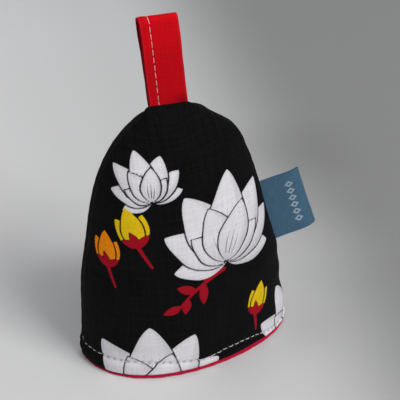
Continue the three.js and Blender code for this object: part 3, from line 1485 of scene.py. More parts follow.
DENTS: dict[Side, tuple[Dent, ...]] = {
    Side.FRONT: (
        Dent(-24, 78, 0.7, 12, 9, -35),
        Dent(-8, 66, -0.5, 16, 7, -20),
        Dent(20, 76, -0.6, 8, 14, 25),
        Dent(26, 52, 0.5, 8, 12, 10),
        Dent(-36, 40, -0.5, 7, 20, -4),
        Dent(0, 30, 0.4, 22, 9, 12),
        Dent(34, 24, -0.5, 7, 12, 8),
        Dent(-22, 16, 0.4, 14, 6, -10),
        Dent(8, 13, -0.35, 12, 5, 6),
    ),
    Side.BACK: (
        Dent(22, 76, 0.6, 11, 9, 30),
        Dent(0, 62, -0.6, 16, 8, -12),
        Dent(-24, 60, 0.5, 9, 13, 15),
        Dent(-30, 30, -0.5, 9, 16, -8),
        Dent(10, 28, 0.5, 18, 9, -14),
        Dent(30, 20, -0.4, 9, 10, 10),
        Dent(-8, 12, 0.3, 14, 5, 4),
    ),
}


@dataclass(frozen=True)
class Lip:
    """Where a panel's top edge stands proud: where that sets in and dies out, to the right of the
    ridge's middle, and the heights over which it sets in.
    """

    rise: Spot
    fall: Spot
    up: Spot

    def share(self, off: Array, height: Array) -> Array:
        """Share of the full rise, right of the ridge's middle and over the floor."""
        share = smoothstep(off, *self.rise) * smoothstep(-off, -self.fall[1], -self.fall[0])
        return share * smoothstep(height, *self.up)


LIPS: dict[Side, Lip] = {
    Side.FRONT: Lip(rise=(-11.0, -7.2), fall=(7.0, 14.0), up=(95.0, 97.8)),
    Side.BACK: Lip(rise=(7.4, 13.5), fall=(14.0, 18.5), up=(90.5, 96.0)),
}

UNSEWN = 2  # columns at each seam that the topstitch leaves out

# Height of the topstitch line over the hem edge, at even steps from the left seam to the right one
# and one step on.
RISES: dict[Side, tuple[float, ...]] = {
    Side.FRONT: (6.95, 6.62, 6.1, 4.8, 3.79, 4.9, 4.23, 2.25, 2.6, 3.2),
    Side.BACK: (7.45, 6.37, 5.5, 5.05, 4.59, 4.2, 3.93, 3.45, 3.1, 2.8),
}


@dataclass(frozen=True)
class SewnRelief:
    """How sewing, turning and handling shape a panel's outer face.

    Attributes:
        seam_dip: Dip of the turned edge into the joint between the panels.
        seam_swell: Swell beside that.
        pucker: Height of the gathers along the seam.
        stitch_dip: Depth of the line that the topstitch pulls down.
        hem_puff: Height of the band under the topstitch.
        hole_dip: Depth of a needle's pit.
        stitch_pitch: Length of one topstitch and the gap after it.
        lip: Rise of the front panel's edge around the hanging loop: at the ridge's middle, and the
            two steps of its change to the right.
        lip_ends: From where to where that changes.
        swell: Rise of the back panel's edge to the right of the loop.
        needle: Half the width of a needle's pit.
        clear: How near a seam the pits die out, and how far off they are whole.
        gathers: The gathers along the seam, as a share of the pucker.
        ripple: The cloth's unevenness along the topstitch.
        ripple_height: Its height.
        seam_wear: Reach from a seam within which the slow swells die out.
    """

    seam_dip: float = 0.34
    seam_swell: float = 0.10
    pucker: float = 0.055
    stitch_dip: float = 0.26
    hem_puff: float = 0.40
    hole_dip: float = 0.34
    stitch_pitch: float = 2.55
    lip: Triple = (0.65, -0.065, 0.023)
    lip_ends: Spot = (-7.5, 6.5)
    swell: float = 0.66
    needle: float = 0.5
    clear: Spot = (1.5, 4.5)
    gathers: Ripple = Ripple(height=1.0, turn=1.02, sway=(1.4, 9.3), over=(0.6, 1.63, 2.1))
    ripple: Ripple = Ripple(height=1.0, turn=0.93, sway=(1.7, 8.0), over=(0.5, 1.71, 0.8))
    ripple_height: float = 0.07
    seam_wear: float = 6.0

    def stitch_rise(self, side: Side, across: Array) -> Array:
        """Height of the topstitch line over the hem edge, along the cloth."""
        return smooth_along(RISES[side], across)

    def lip_rise(self, side: Side, off: Array, height: Array) -> Array:
        """How far a panel's top edge stands proud around the hanging loop.

        Args:
            side: Front or back. The back one's edge is raised beside the loop only.
            off: Distances to the right of the ridge's middle.
            height: Heights over the floor.

        Returns:
            The rise at each point.
        """
        held = np.clip(off, *self.lip_ends)
        lip = self.lip[0] + held * (self.lip[1] + held * self.lip[2])
        return (lip if side is Side.FRONT else self.swell) * LIPS[side].share(off, height)

    def holes(self, side: Side, patch: ClothPatch, line: Array) -> Array:
        """Nearness to a needle hole, 0 to 1.

        Args:
            side: Front or back.
            patch: The outer face.
            line: The topstitch's path, without the outermost columns at both ends.

        Returns:
            The nearness at each point of the patch.
        """
        rise = self.stitch_rise(side, patch.across[0])
        walked = run_length(line, 0)
        pitch = walked[-1] / int(walked[-1] / self.stitch_pitch)
        off = np.zeros(patch.u.shape[1])
        off[UNSEWN:-UNSEWN] = ((walked / pitch) % 1.0 - 0.5) * pitch
        clear = smoothstep(patch.seam, *self.clear)
        near = hump(off[None, :], 0.0, self.needle) * hump(patch.v, rise[None, :], self.needle)
        return clear * near

    def height(self, side: Side, patch: ClothPatch) -> Array:
        """Height of the outer face over the plain form.

        Args:
            side: Front or back.
            patch: The outer face.

        Returns:
            Height at each point of the patch.
        """
        u, v, seam, walk = patch.u, patch.v, patch.seam, patch.walk
        found = 0.07 * np.sin(u / 3.3 + v / 8.1 + 0.4) * np.sin(v / 5.3 - u / 10.7)
        found += 0.09 * np.sin(u / 9.2 - v / 6.1 + 2.0) + 0.06 * np.sin(v / 12.4 + u / 15 + 1.1)
        for dent in DENTS[side]:
            found += dent.at(u, v)
        found *= smoothstep(seam, 0.0, self.seam_wear)
        near_seam = np.exp(-seam / 3.2) * smoothstep(seam, 0.1, 1.4)
        found += self.pucker * self.gathers.at(walk) * near_seam
        found -= self.seam_dip * hump(seam, 0.0, 0.62)
        found += self.seam_swell * hump(seam, 1.9, 1.2)
        rise = self.stitch_rise(side, patch.across)
        found += self.ripple_height * self.ripple.at(u) * hump(v, rise, 4.5)
        found -= self.stitch_dip * hump(v, rise, 0.70)
        found += self.hem_puff * np.sin(math.pi * np.clip(v / rise, 0, 1)) ** 0.8
        return found


# --- The panels ---


@dataclass
class Panel:
    """One printed panel, padded thinly, with its hem edge rounded.

    Attributes:
        side: Front or back.
        form: The cover's form.
        relief: What sewing does to it.
        thick: Thickness.
        fine: Faces across and up its outer face.
        coarse: The same for its hidden inner face.
        roll: Rows of its rounded hem edge.
    """

    side: Side
    form: CosyForm
    relief: SewnRelief = SewnRelief()
    thick: float = 2.0
    fine: tuple[int, int] = (312, 274)
    coarse: tuple[int, int] = (60, 56)
    roll: int = 8

    def plain_patch(self) -> ClothPatch:
        """The outer face before it is sewn.

        Returns:
            The patch, with no relief.
        """
        half = self.thick / 2
        ups = self.form.levels(self.side, self.fine[1], half)
        turns = self.form.columns(self.side, self.fine[0])
        return ClothPatch.lay(self.form, self.side, ups, turns, 0.0, half * math.pi / 2)

    def holes(self) -> Array:
        """Nearness of each point of the outer face to a needle hole, 0 to 1."""
        return self.relief.holes(self.side, self.plain_patch(), self.stitch_line()[0])

    def outer_patch(self, pierced: bool = True) -> ClothPatch:
        """The outer face with its relief.

        Args:
            pierced: Whether it has the needle holes.

        Returns:
            The patch, which doesn't cross the seam plane.
        """
        patch = self.plain_patch()
        lift = self.relief.height(self.side, patch)
        if pierced:
            lift = lift - self.relief.hole_dip * self.holes()
        lift[-1] = 0.0
        points = patch.points + patch.outward(self.side) * lift[..., None]
        level = (points[..., 1] - self.form.seam_y) * self.side.value
        points[..., 1] = self.form.seam_y + self.side.value * np.maximum(level, self.form.seam_gap)
        off = points[..., 0] - self.form.origin_x - self.form.ridge_centre
        points[..., 2] += self.relief.lip_rise(self.side, off, points[..., 2])
        patch.points = points
        return patch

    def hem_edge(self, outer: ClothPatch, up: float) -> tuple[Array, Array]:
        """The rounded edge from the outer face's first row to the inner face's.

        Args:
            outer: The outer face.
            up: The inner face's first level.

        Returns:
            Its rows of points and their cloth coordinates.
        """
        half = self.thick / 2
        turns = self.form.columns(self.side, self.fine[0])
        base = self.form.show(-np.cos(turns))
        inner = self.form.point(up, turns, self.side, self.thick, base)
        middle, arm = (outer.points[0] + inner) / 2, (outer.points[0] - inner) / 2
        rows, cloth = [], []
        for way in np.linspace(0, math.pi, self.roll + 2)[1:-1]:
            drop = np.array([0.0, 0.0, -half * math.sin(way)])
            rows.append(middle + arm * math.cos(way) + drop)
            down = outer.v[0] - half * way
            cloth.append(np.stack([outer.u[0], down, np.ones_like(down)], axis=-1))
        return np.array(rows), np.array(cloth)

    def build(self) -> Piece:
        """Builds the panel.

        Returns:
            One closed sheet, printed.
        """
        half = self.thick / 2
        outer = self.outer_patch()
        ups = self.form.levels(self.side, self.coarse[1], half)
        turns = self.form.columns(self.side, self.coarse[0], 0.0)
        inner = ClothPatch.lay(self.form, self.side, ups, turns, self.thick, half)
        parts = MeshParts()
        closed_sheet(parts, outer, inner, *self.hem_edge(outer, ups[0]))
        # Nearness to the needle holes, which sets the shade painted into them.
        pits = np.zeros(parts.count)
        holes = self.holes()[:-1]
        pits[: holes.size] = holes.ravel()
        print_layers = printed(self.side, np.vstack(parts.cloth), pits)
        return parts.finish(self.side.named("panel_cloth"), print_layers)

    def stitch_line(self) -> tuple[Array, Array]:
        """Where the topstitch runs on the outer face.

        Returns:
            Its path, and the outward direction along it.
        """
        patch = self.outer_patch(pierced=False)
        both = np.concatenate([patch.points, patch.outward(self.side)], axis=-1)
        rise = self.relief.stitch_rise(self.side, patch.across[0])
        found = []
        for column in range(UNSEWN, patch.u.shape[1] - UNSEWN):
            height, values = patch.v[:, column], both[:, column].T
            found.append([np.interp(rise[column], height, value) for value in values])
        path, away = np.split(np.array(found), 2, axis=1)
        return path, away


@dataclass
class Lining:
    """One half of the lining: inside its panel, rolled out under the hem.

    Attributes:
        side: Front or back.
        form: The cover's form.
        face: Depth of its hidden face under the cover's outer face.
        thick: Thickness.
        gap: Air between it and the panel.
        fine: Faces across and up.
        start: Height over the hem edge at which its faces start.
        rows: Rows of its rolled edge.
        worn: How worn that edge is.
        wave: Its unevenness.
    """

    side: Side
    form: CosyForm
    face: float = 2.3
    thick: float = 1.0
    gap: float = 0.22
    fine: tuple[int, int] = (200, 60)
    start: float = 1.4
    rows: int = 30
    worn: float = 0.2
    wave: Ripple = Ripple(height=0.07, turn=0.9, sway=(1.3, 7.0), over=(0.04, 2.05, 0.6))

    def rolled(self, u: Array, show: Array) -> Array:
        """Profile of the rolled edge, from the outer face round to the inner one.

        Args:
            u: Place of each column across the cloth.
            show: How much lining shows at each column.

        Returns:
            Depth under the cover's outer face and height, for each row and column.
        """
        wave, top = self.wave.at(u), show - self.gap
        stations = (
            (self.face, show + self.start * 0.75),
            (self.face - 0.05, show + 0.25),
            (1.75, top + 0.02),
            (0.85 + wave * 0.5, top),
            (0.30 + wave, top * 0.86),
            (0.08 + wave, top * 0.5),
            (0.34 + wave, top * 0.14),
            (0.95, 0.0),
            (2.4, 0.0),
            (3.15, top * 0.25),
            (self.face + self.thick, show * 0.6 + 0.4),
        )
        knots = np.array([np.broadcast_arrays(inset, height, u)[:2] for inset, height in stations])
        knots = np.concatenate([knots, 2 * knots[-1:] - knots[-2:-1]]).reshape(len(knots) + 1, -1)
        at = np.linspace(0.0, len(stations) - 1.0, self.rows + 1)[1:]
        return smooth_through(knots, at).reshape(len(at), 2, len(u))

    def build(self) -> Piece:
        """Builds the lining.

        Returns:
            One closed sheet.
        """
        form, side = self.form, self.side
        turns = form.columns(side, self.fine[0], 0.4)
        ups = form.levels(side, self.fine[1], self.start)
        outer = ClothPatch.lay(form, side, ups, turns, self.face, self.start)
        inner = ClothPatch.lay(form, side, ups, turns, self.face + self.thick, self.start)
        rows = []
        for inset, height in self.rolled(outer.u[0], form.show(-np.cos(turns))):
            row = form.point(0.0, turns, side, inset, 0.0)
            row[:, 2] = np.maximum(height, 0.0)
            rows.append(row)
        rim = np.array(rows)
        down = -run_length(rim, 0)
        across = np.broadcast_to(outer.u[0], down.shape)
        cloth = np.stack([across, down, np.full_like(down, self.worn)], axis=-1)
        parts = MeshParts()
        closed_sheet(parts, outer, inner, rim, cloth)
        return parts.finish(side.named("lining_cloth"))


# --- Folded strips ---


@dataclass(frozen=True)
class FoldedStrip:
    """A strip folded in two, its ends together in a seam.

    Attributes:
        name: The piece's name.
        width: Across the strip.
        length: From its ends to the fold.
        layer: Thickness of one layer.
        foot: Half the space between the layers at their ends.
        belly: The same before the fold.
        along: Stations along the strip.
        around: Stations across one face.
        crisp: Powers that square its turned edges, and gather a face's stations towards them.
        turned: Stations round one turned edge.
    """

    name: str
    width: float
    length: float
    layer: float
    foot: float
    belly: float
    along: int = 150
    around: int = 46
    crisp: Spot = (0.5, 1.15)
    turned: int = 5

    def path(self) -> Array:
        """The strip's middle surface in profile.

        Returns:
            Even stations from one end over the fold to the other: y across the layers, z along.
        """
        foot, belly = self.foot + self.layer / 2, self.belly + self.layer / 2
        fold = self.length - belly
        at = np.linspace(0, 1, 61)[:, None]
        knots = ((-foot, 0.0), (-foot, fold * 0.35), (-belly, fold * 0.6), (-belly, fold))
        shares = ((1 - at) ** 3, 3 * (1 - at) ** 2 * at, 3 * (1 - at) * at**2, at**3)
        up = sum(share * np.array(knot) for share, knot in zip(shares, knots))
        way = np.linspace(math.pi, 0, 33)[1:-1, None]
        arc = np.concatenate([belly * np.cos(way), fold + belly * np.sin(way)], axis=1)
        line = np.concatenate([up, arc, (up * [-1, 1])[::-1]])
        walked = run_length(line, 0)
        even = np.linspace(0, walked[-1], self.along + 1)
        return np.stack([np.interp(even, walked, line[:, k]) for k in range(2)], axis=1)

    def walked(self) -> Array:
        """Length walked along the path at each of its stations."""
        return run_length(self.path(), 0)

    def raised(self, across: Array, through: Array, lean: Array) -> Array:
        """Points over the strip's middle surface.

        Args:
            across: Place across the width: a row for each station of the path.
            through: Height over the middle surface.
            lean: Added across the layers.

        Returns:
            Points: x across, y through the layers and z up the strip.
        """
        line = self.path()[:, None]
        normal = profile_normals(line[:, 0])[:, None]
        y = line[..., 0] + normal[..., 0] * through + lean
        z = line[..., 1] + normal[..., 1] * through
        return np.stack([across, y, z], axis=-1)

    def section(self) -> Array:
        """The strip's section.

        Returns:
            A closed round of points: x across the width, t through the thickness.
        """
        half, thick = self.width / 2, self.layer / 2
        square, gather = self.crisp
        flat = np.linspace(-1, 1, self.around + 1)
        flat = np.sign(flat) * (1 - (1 - np.abs(flat)) ** gather)
        upper = [(x * (half - thick), thick) for x in flat]
        right = []
        for way in np.linspace(math.pi / 2, -math.pi / 2, self.turned + 2)[1:-1]:
            out, up = abs(math.cos(way)) ** square, abs(math.sin(way)) ** square
            right.append((half - thick + thick * out, math.copysign(thick * up, way)))
        lower = [(x * (half - thick), -thick) for x in flat[::-1]]
        left = [(-x, -t) for x, t in right]
        return np.array(upper + right + lower + left)

    def solid(self, shape: Relief) -> MeshParts:
        """The strip as a closed solid.

        Args:
            shape: Takes places across, through and along the strip, and returns the first two
                with any local relief, and a lean across the layers.

        Returns:
            The mesh parts, with one grid of points.
        """
        walked, section = self.walked(), self.section()
        grid = (len(walked), len(section))
        across = np.broadcast_to(section[:, 0], grid)
        through = np.broadcast_to(section[:, 1], grid)
        length = np.broadcast_to(walked[:, None], grid)
        across, through, lean = shape(across, through, length)
        near = hump(self.width / 2 - np.abs(across), 0.0, 0.5)
        # The faces between the two layers get -1, which marks painted shade there.
        near = np.where(section[:, 1] < -self.layer / 4, -1.0, near)
        parts = MeshParts()
        cloth = np.stack([across, length, near], axis=-1)
        ring = parts.take(self.raised(across, through, lean), cloth)
        parts.quads(np.concatenate([ring, ring[:, :1]], axis=1))
        parts.faces.extend(tuple(row.tolist()) for row in (ring[0], ring[-1]))
        return parts


@dataclass
class HangingLoop:
    """The hanging loop: a tape of red cotton folded in two, edge-stitched near its left edge.

    Attributes:
        form: The cover's form.
        strip: The folded tape.
        lean: Its lean to the left, in degrees.
        pinch: Share by which the layers lie closer together at the right edge.
        skew: How much lower the fold is at the right edge.
        corner: Wear of the fold's left corner.
        set_back: From the seam plane back to it.
        height: From its sewn-in ends to the fold.
        stitch_at: From the left edge to the stitches.
        stitch_dip: Depth of the stitched line.
        bow: Its bow to the front halfway up.
        edge: Waves of its edges' height.
        flat_ends: Share of the thickness that is left where it is sewn in.
        unsewn: What the stitches leave out at each end.
    """

    form: CosyForm
    strip: FoldedStrip = FoldedStrip(
        name="hanging_loop_tape", width=13.8, length=35.7, layer=0.8, foot=0.06, belly=1.35
    )
    lean: float = 6.3
    pinch: float = 0.62
    skew: float = 0.55
    corner: float = 0.2
    set_back: float = 0.3
    height: float = 35.8
    stitch_at: float = 3.5
    stitch_dip: float = 0.13
    bow: float = 0.3
    edge: Ripple = Ripple(height=0.02, turn=1.1, sway=(0.8, 5.0))
    flat_ends: float = 0.62
    unsewn: float = 2.2

    def relief(self, across: Array, through: Array, length: Array) -> tuple[Array, Array, Array]:
        """The tape's folded edges, its stitched line and its slight waviness.

        Args:
            across: Place across the tape.
            through: Height over its middle surface.
            length: Place along it, over the fold.

        Returns:
            The first two with the relief, and a lean to the back.
        """
        strip = self.strip
        left = across + strip.width / 2
        dip = self.stitch_dip * hump(left, self.stitch_at, 0.55)
        swell = 0.08 * hump(left, 1.7, 1.0) - 0.04 * hump(left, self.stitch_at + 3.4, 2.6)
        swell += self.edge.at(length) * hump(left, 1.0, 3.0)
        weight = smoothstep(np.abs(through), 0.0, strip.layer / 2)
        through = through + np.sign(through) * weight * (swell - dip)
        end = np.minimum(length, 2 * strip.length - length)
        through = through * (self.flat_ends + (1 - self.flat_ends) * smoothstep(end, 1.0, 7.0))
        sway = 0.07 * np.sin(length / 4.1 + 0.5) + 0.04 * np.sin(length / 1.9)
        across = across + sway * smoothstep(np.abs(across), 3.0, strip.width / 2)
        lean = 0.12 * np.sin(length / 6.3 + 1.0) * np.sin(across / 4.5 + 0.4)
        middle = np.interp(length, strip.walked(), strip.path()[:, 0])
        open_by = np.maximum(np.abs(middle) - strip.foot - strip.layer / 2, 0.0) * np.sign(middle)
        return across, through, lean - open_by * self.pinch * left / strip.width

    def placed(self, points: Array) -> Array:
        """Carries points from the strip's own place to the loop's place in the top seam.

        Args:
            points: x across, y through and z up the strip.

        Returns:
            The same points in the frame.
        """
        low, high = (Vector(corner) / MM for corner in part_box("hanging_loop"))
        rise = high.z - low.z
        shear = math.tan(math.radians(self.lean))
        centre = (low.x + high.x) / 2 + shear * rise / 2
        x, up = points[..., 0], points[..., 2] / self.strip.length
        z = up * (min(self.height, rise) - self.skew * (x / self.strip.width + 0.5) * up)
        z = z - self.corner * hump(x, -self.strip.width / 2, 0.9) * np.clip(up, 0, 1) ** 12
        y = points[..., 1] + self.set_back * smoothstep(points[..., 2], -1.0, 5.0)
        y = y - self.bow * np.sin(math.pi * np.clip((up - 0.08) / 0.92, 0, 1))
        return np.stack([centre + x - shear * z, self.form.seam_y + y, low.z + z], axis=-1)

    def build(self) -> Piece:
        """Builds the tape.

        Returns:
            One closed solid.
        """
        parts = self.strip.solid(self.relief)
        across, length, near = parts.cloth[0].T
        # Painted shade: the left side of the tape, which faces away from the light, and its front
        # foot, in the shadow of the panel's raised edge.
        shaded = smoothstep(-across - self.strip.width / 2, -0.5, -0.12)
        painted_lip_shadow = smoothstep(across, -1.0, 5.5) * smoothstep(-length, -6.8, -2.6)
        near = np.minimum(near, 1 - 2 * shaded) - 0.55 * painted_lip_shadow
        parts.cloth[0] = np.stack([across, length, near], axis=1)
        parts.points[0] = self.placed(parts.points[0])
        return parts.finish(self.strip.name)

    def stitch_line(self) -> tuple[Array, Array]:
        """Where the edge-stitching runs, over both layers.

        Returns:
            Its path, and the outward direction along it.
        """
        walked = self.strip.walked()[:, None]
        across = np.full_like(walked, self.stitch_at - self.strip.width / 2)
        outer = np.full_like(walked, self.strip.layer / 2)
        path = self.placed(self.strip.raised(*self.relief(across, outer, walked)))[:, 0]
        away = np.pad(profile_normals(self.strip.path()), ((0, 0), (1, 0)))
        keep = np.minimum(walked, walked[-1] - walked)[:, 0] > self.unsewn
        return path[keep], away[keep]


@dataclass
class SideLabel:
    """The ribbon label, folded in two and sewn into the right seam.

    Attributes:
        form: The cover's form.
        top: Upper end of the line where it leaves the seam: across and height.
        bottom: Lower end of that line.
        tail: Its reach into the seam.
        proud: How far it stands out of it.
        layer: Thickness of the ribbon.
        skew: Share by which it stands out further at its lower edge, and less at the upper one.
        slip: How far the back layer lies above the front one at the fold.
        hollow: Curl of its upper and lower edges to the front.
        sag: Its bow to the front before the fold.
        lift: Rise of its lower edge towards the fold.
        worn: Wear of the fold's lower corner.
    """

    form: CosyForm
    top: tuple[float, float] = (28.9, 60.0)
    bottom: tuple[float, float] = (35.7, 33.5)
    tail: float = 1.2
    proud: float = 15.8
    layer: float = 0.34
    skew: float = 0.052
    slip: float = 0.05
    hollow: float = 0.5
    sag: float = 1.1
    lift: float = 0.8
    worn: float = 0.4

    def axes(self) -> tuple[Array, Array, Array, float]:
        """How the label lies in the frame.

        Returns:
            The middle of its sewn-in end, its way out, its way down and its width.
        """
        seam = [self.form.origin_x, self.form.seam_y, 0.0]
        start = np.array([self.top[0], 0.0, self.top[1]]) + seam
        end = np.array([self.bottom[0], 0.0, self.bottom[1]]) + seam
        width = float(np.linalg.norm(end - start))
        down = (end - start) / width
        out = np.array([-down[2], 0.0, down[0]])
        return (start + end) / 2 - out * self.tail, out, down, width

    def strip(self) -> FoldedStrip:
        """The folded ribbon before it is bent.

        Returns:
            The strip.
        """
        return FoldedStrip(
            name="side_label_ribbon",
            width=self.axes()[3],
            length=self.tail + self.proud,
            layer=self.layer,
            foot=0.06,
            belly=0.24,
            along=90,
            around=60,
        )

    def wave(self, across: Array, through: Array, length: Array) -> tuple[Array, Array, Array]:
        """The ribbon's curl and bow, and the slip between its layers.

        Args:
            across: Place down the ribbon's width.
            through: Height over its middle surface.
            length: Place along it, over the fold.

        Returns:
            The first two as they come to lie, and how far each point leans to the back.
        """
        strip = self.strip()
        total = 2 * strip.length
        back = smoothstep(length, total * 0.50, total * 0.58)
        reach = np.clip(np.minimum(length, total - length) / strip.length, 0, 1)
        bow = -self.hollow * (2 * across / strip.width) ** 2 * reach
        bow = bow - self.sag * np.sin(3.0 * reach**2.2)
        bow = bow + 0.08 * np.sin(across / 3.7 + 1.2) * reach + 0.04 * back * reach
        rise = self.slip * back + self.lift * np.clip(across / strip.width + 0.5, 0, 1)
        return across - rise * reach, through, bow

    def build(self) -> Piece:
        """Builds the ribbon with a soft wave, the back layer slipped a little upwards.

        Returns:
            One closed solid.
        """
        start, out, down, width = self.axes()
        strip = self.strip()
        parts = strip.solid(self.wave)
        across, through, away = parts.points[0].T
        spread = away * (1 + self.skew * across / (width / 2))
        far = np.clip(away / strip.length, 0, 1) ** 8
        spread = spread - self.worn * far * smoothstep(across, width / 2 - 1.5, width / 2)
        placed = start + np.outer(across, down) + np.outer(spread, out)
        placed[:, 1] += through
        parts.points[0] = placed
        u, v, near = parts.cloth[0].T
        out_from_seam = np.minimum(v, 2 * strip.length - v)
        parts.cloth[0] = np.stack([out_from_seam, u + width / 2, near], axis=1)
        return parts.finish(strip.name)


# --- Stitching ---


@dataclass(frozen=True)
class Topstitch:
    """A row of machine stitches along a path.

    Attributes:
        pitch: From one stitch to the next.
        length: Of the thread that shows.
        radius: Of the thread.
        rise: How far the thread's middle stands over the cloth.
        dive: How far its ends go into the cloth.
        seed: For the slight unevenness.
    """

    pitch: float = 2.55
    length: float = 1.65
    radius: float = 0.12
    rise: float = 0.13
    dive: float = 0.24
    seed: int = 4

    TREE = "topstitch_row"
    INPUTS = (
        ("Path", "Geometry"),
        ("Pitch", "Float"),
        ("Length", "Float"),
        ("Thread Radius", "Float"),
        ("Rise", "Float"),
        ("Dive", "Float"),
        ("Seed", "Int"),
        ("Thread", "Material"),
    )
    ROUND = 7  # resolution of a stitch along and round its thread
    SCALES = (0.92, 1.06)  # smallest and largest stitch

    @classmethod
    def tree(cls) -> bpy.types.NodeTree:
        """The node tree that lays stitches along a line of vertices.

        Returns:
            The tree, made on the first call.
        """
        known = bpy.data.node_groups.get(cls.TREE)
        if known is not None:
            return known
        tree = bpy.data.node_groups.new(cls.TREE, "GeometryNodeTree")
        sockets = tree.interface
        for name, kind in cls.INPUTS:
            sockets.new_socket(name=name, in_out="INPUT", socket_type=f"NodeSocket{kind}")
        sockets.new_socket(name="Stitches", in_out="OUTPUT", socket_type="NodeSocketGeometry")
        pen = NodePen(tree)
        given = pen.add("NodeGroupInput").outputs
        line = pen.first("GeometryNodeMeshToCurve", {0: given["Path"]})
        even = {"Curve": line, "Length": given["Pitch"]}
        tangent = {"Vector": pen.first("GeometryNodeInputTangent", {})}
        ahead = pen.first("FunctionNodeAlignRotationToVector", tangent, axis="X")
        named = {"Name": "outward"}
        outward = pen.first("GeometryNodeInputNamedAttribute", named, data_type="FLOAT_VECTOR")
        turned = {"Rotation": ahead, "Vector": outward}
        upright = pen.first("FunctionNodeAlignRotationToVector", turned, axis="Z", pivot_axis="X")
        uneven = {2: cls.SCALES[0], 3: cls.SCALES[1], "Seed": given["Seed"]}
        row = {
            "Points": pen.first("GeometryNodeResampleCurve", even, mode="LENGTH"),
            "Instance": cls.stitch(pen, given),
            "Rotation": upright,
            "Scale": pen.add("FunctionNodeRandomValue", uneven, data_type="FLOAT").outputs[1],
        }
        laid = pen.first("GeometryNodeInstanceOnPoints", row)
        real = pen.first("GeometryNodeRealizeInstances", {0: laid})
        smooth = pen.first("GeometryNodeSetShadeSmooth", {0: real})
        painted = {"Geometry": smooth, "Material": given["Thread"]}
        pen.add("NodeGroupOutput", {0: pen.first("GeometryNodeSetMaterial", painted)})
        return tree

    @classmethod
    def stitch(cls, pen: NodePen, given: Any) -> Any:
        """One stitch, whose thread arches over the cloth and dives into it at both ends.

        Args:
            pen: Pen on the tree.
            given: The tree's inputs.

        Returns:
            The stitch's socket, along X with its arch in Z.
        """
        half = pen.times(given["Length"], 0.5)
        low = pen.times(given["Dive"], -1.0)
        high = pen.math("MULTIPLY_ADD", given["Rise"], 2.0, given["Dive"])
        start, end = (
            pen.first("ShaderNodeCombineXYZ", {0: side, 2: low})
            for side in (pen.times(half, -1.0), half)
        )
        arch = {
            "Resolution": cls.ROUND,
            "Start": start,
            "Middle": pen.first("ShaderNodeCombineXYZ", {2: high}),
            "End": end,
        }
        radius = given["Thread Radius"]
        circle = {
            "Geometry": pen.first("GeometryNodeCurvePrimitiveCircle", {"Resolution": cls.ROUND}),
            "Scale": pen.first("ShaderNodeCombineXYZ", {0: radius, 1: radius, 2: radius}),
        }
        thread = {
            "Curve": pen.first("GeometryNodeCurveQuadraticBezier", arch),
            "Profile Curve": pen.first("GeometryNodeTransform", circle),
            "Fill Caps": True,
        }
        return pen.first("GeometryNodeCurveToMesh", thread)

    def sew(
        self, name: str, lines: Iterable[tuple[Array, Array]], thread: bpy.types.Material
    ) -> Piece:
        """Sews a row of stitches along each line.

        Args:
            name: The piece's name.
            lines: Each a path and its outward directions.
            thread: The thread's material.

        Returns:
            The stitches as one plain mesh.
        """
        points, edges, outward = [], [], []
        for path, away in lines:
            first = sum(len(part) for part in points)
            points.append(path * MM)
            outward.append(away)
            edges.extend((first + k, first + k + 1) for k in range(len(path) - 1))
        mesh = bpy.data.meshes.new(f"{name}_path")
        mesh.from_pydata(np.vstack(points).tolist(), edges, [])
        add_vectors(mesh, "outward", np.vstack(outward))
        guide = put_in_scene(mesh.name, mesh)
        row = guide.modifiers.new("stitches", "NODES")
        row.node_group = self.tree()
        values = {
            "Pitch": self.pitch * MM,
            "Length": self.length * MM,
            "Thread Radius": self.radius * MM,
            "Rise": self.rise * MM,
            "Dive": self.dive * MM,
            "Seed": self.seed,
            "Thread": thread,
        }
        for item in row.node_group.interface.items_tree:
            if item.in_out == "INPUT" and item.name in values:
                row[item.identifier] = values[item.name]
        ready = guide.evaluated_get(bpy.context.evaluated_depsgraph_get())
        plain = bpy.data.meshes.new_from_object(ready)
        bpy.data.objects.remove(guide)
        bpy.data.meshes.remove(mesh)
        plain.name = name
        LOG.info("%s: %d faces", name, len(plain.polygons))
        return put_in_scene(name, plain)


# --- Studio ---


SENSOR = 36.0
NEAREST = 0.01


@dataclass(frozen=True)
class SoftLight:
    """A square soft light with its place and side in metres and its power in watts."""

    name: str
    spot: Triple
    size: float
    power: float

    def hang(self, aim: Vector) -> None:
        """Hangs the light.

        Args:
            aim: Where it points.
        """
        lamp = bpy.data.lights.new(self.name, "AREA")
        lamp.shape = "SQUARE"
        lamp.size = self.size
        lamp.energy = self.power
        made = put_in_scene(self.name, lamp)
        made.location = self.spot
        made.rotation_euler = (aim - made.location).to_track_quat("-Z", "Y").to_euler()


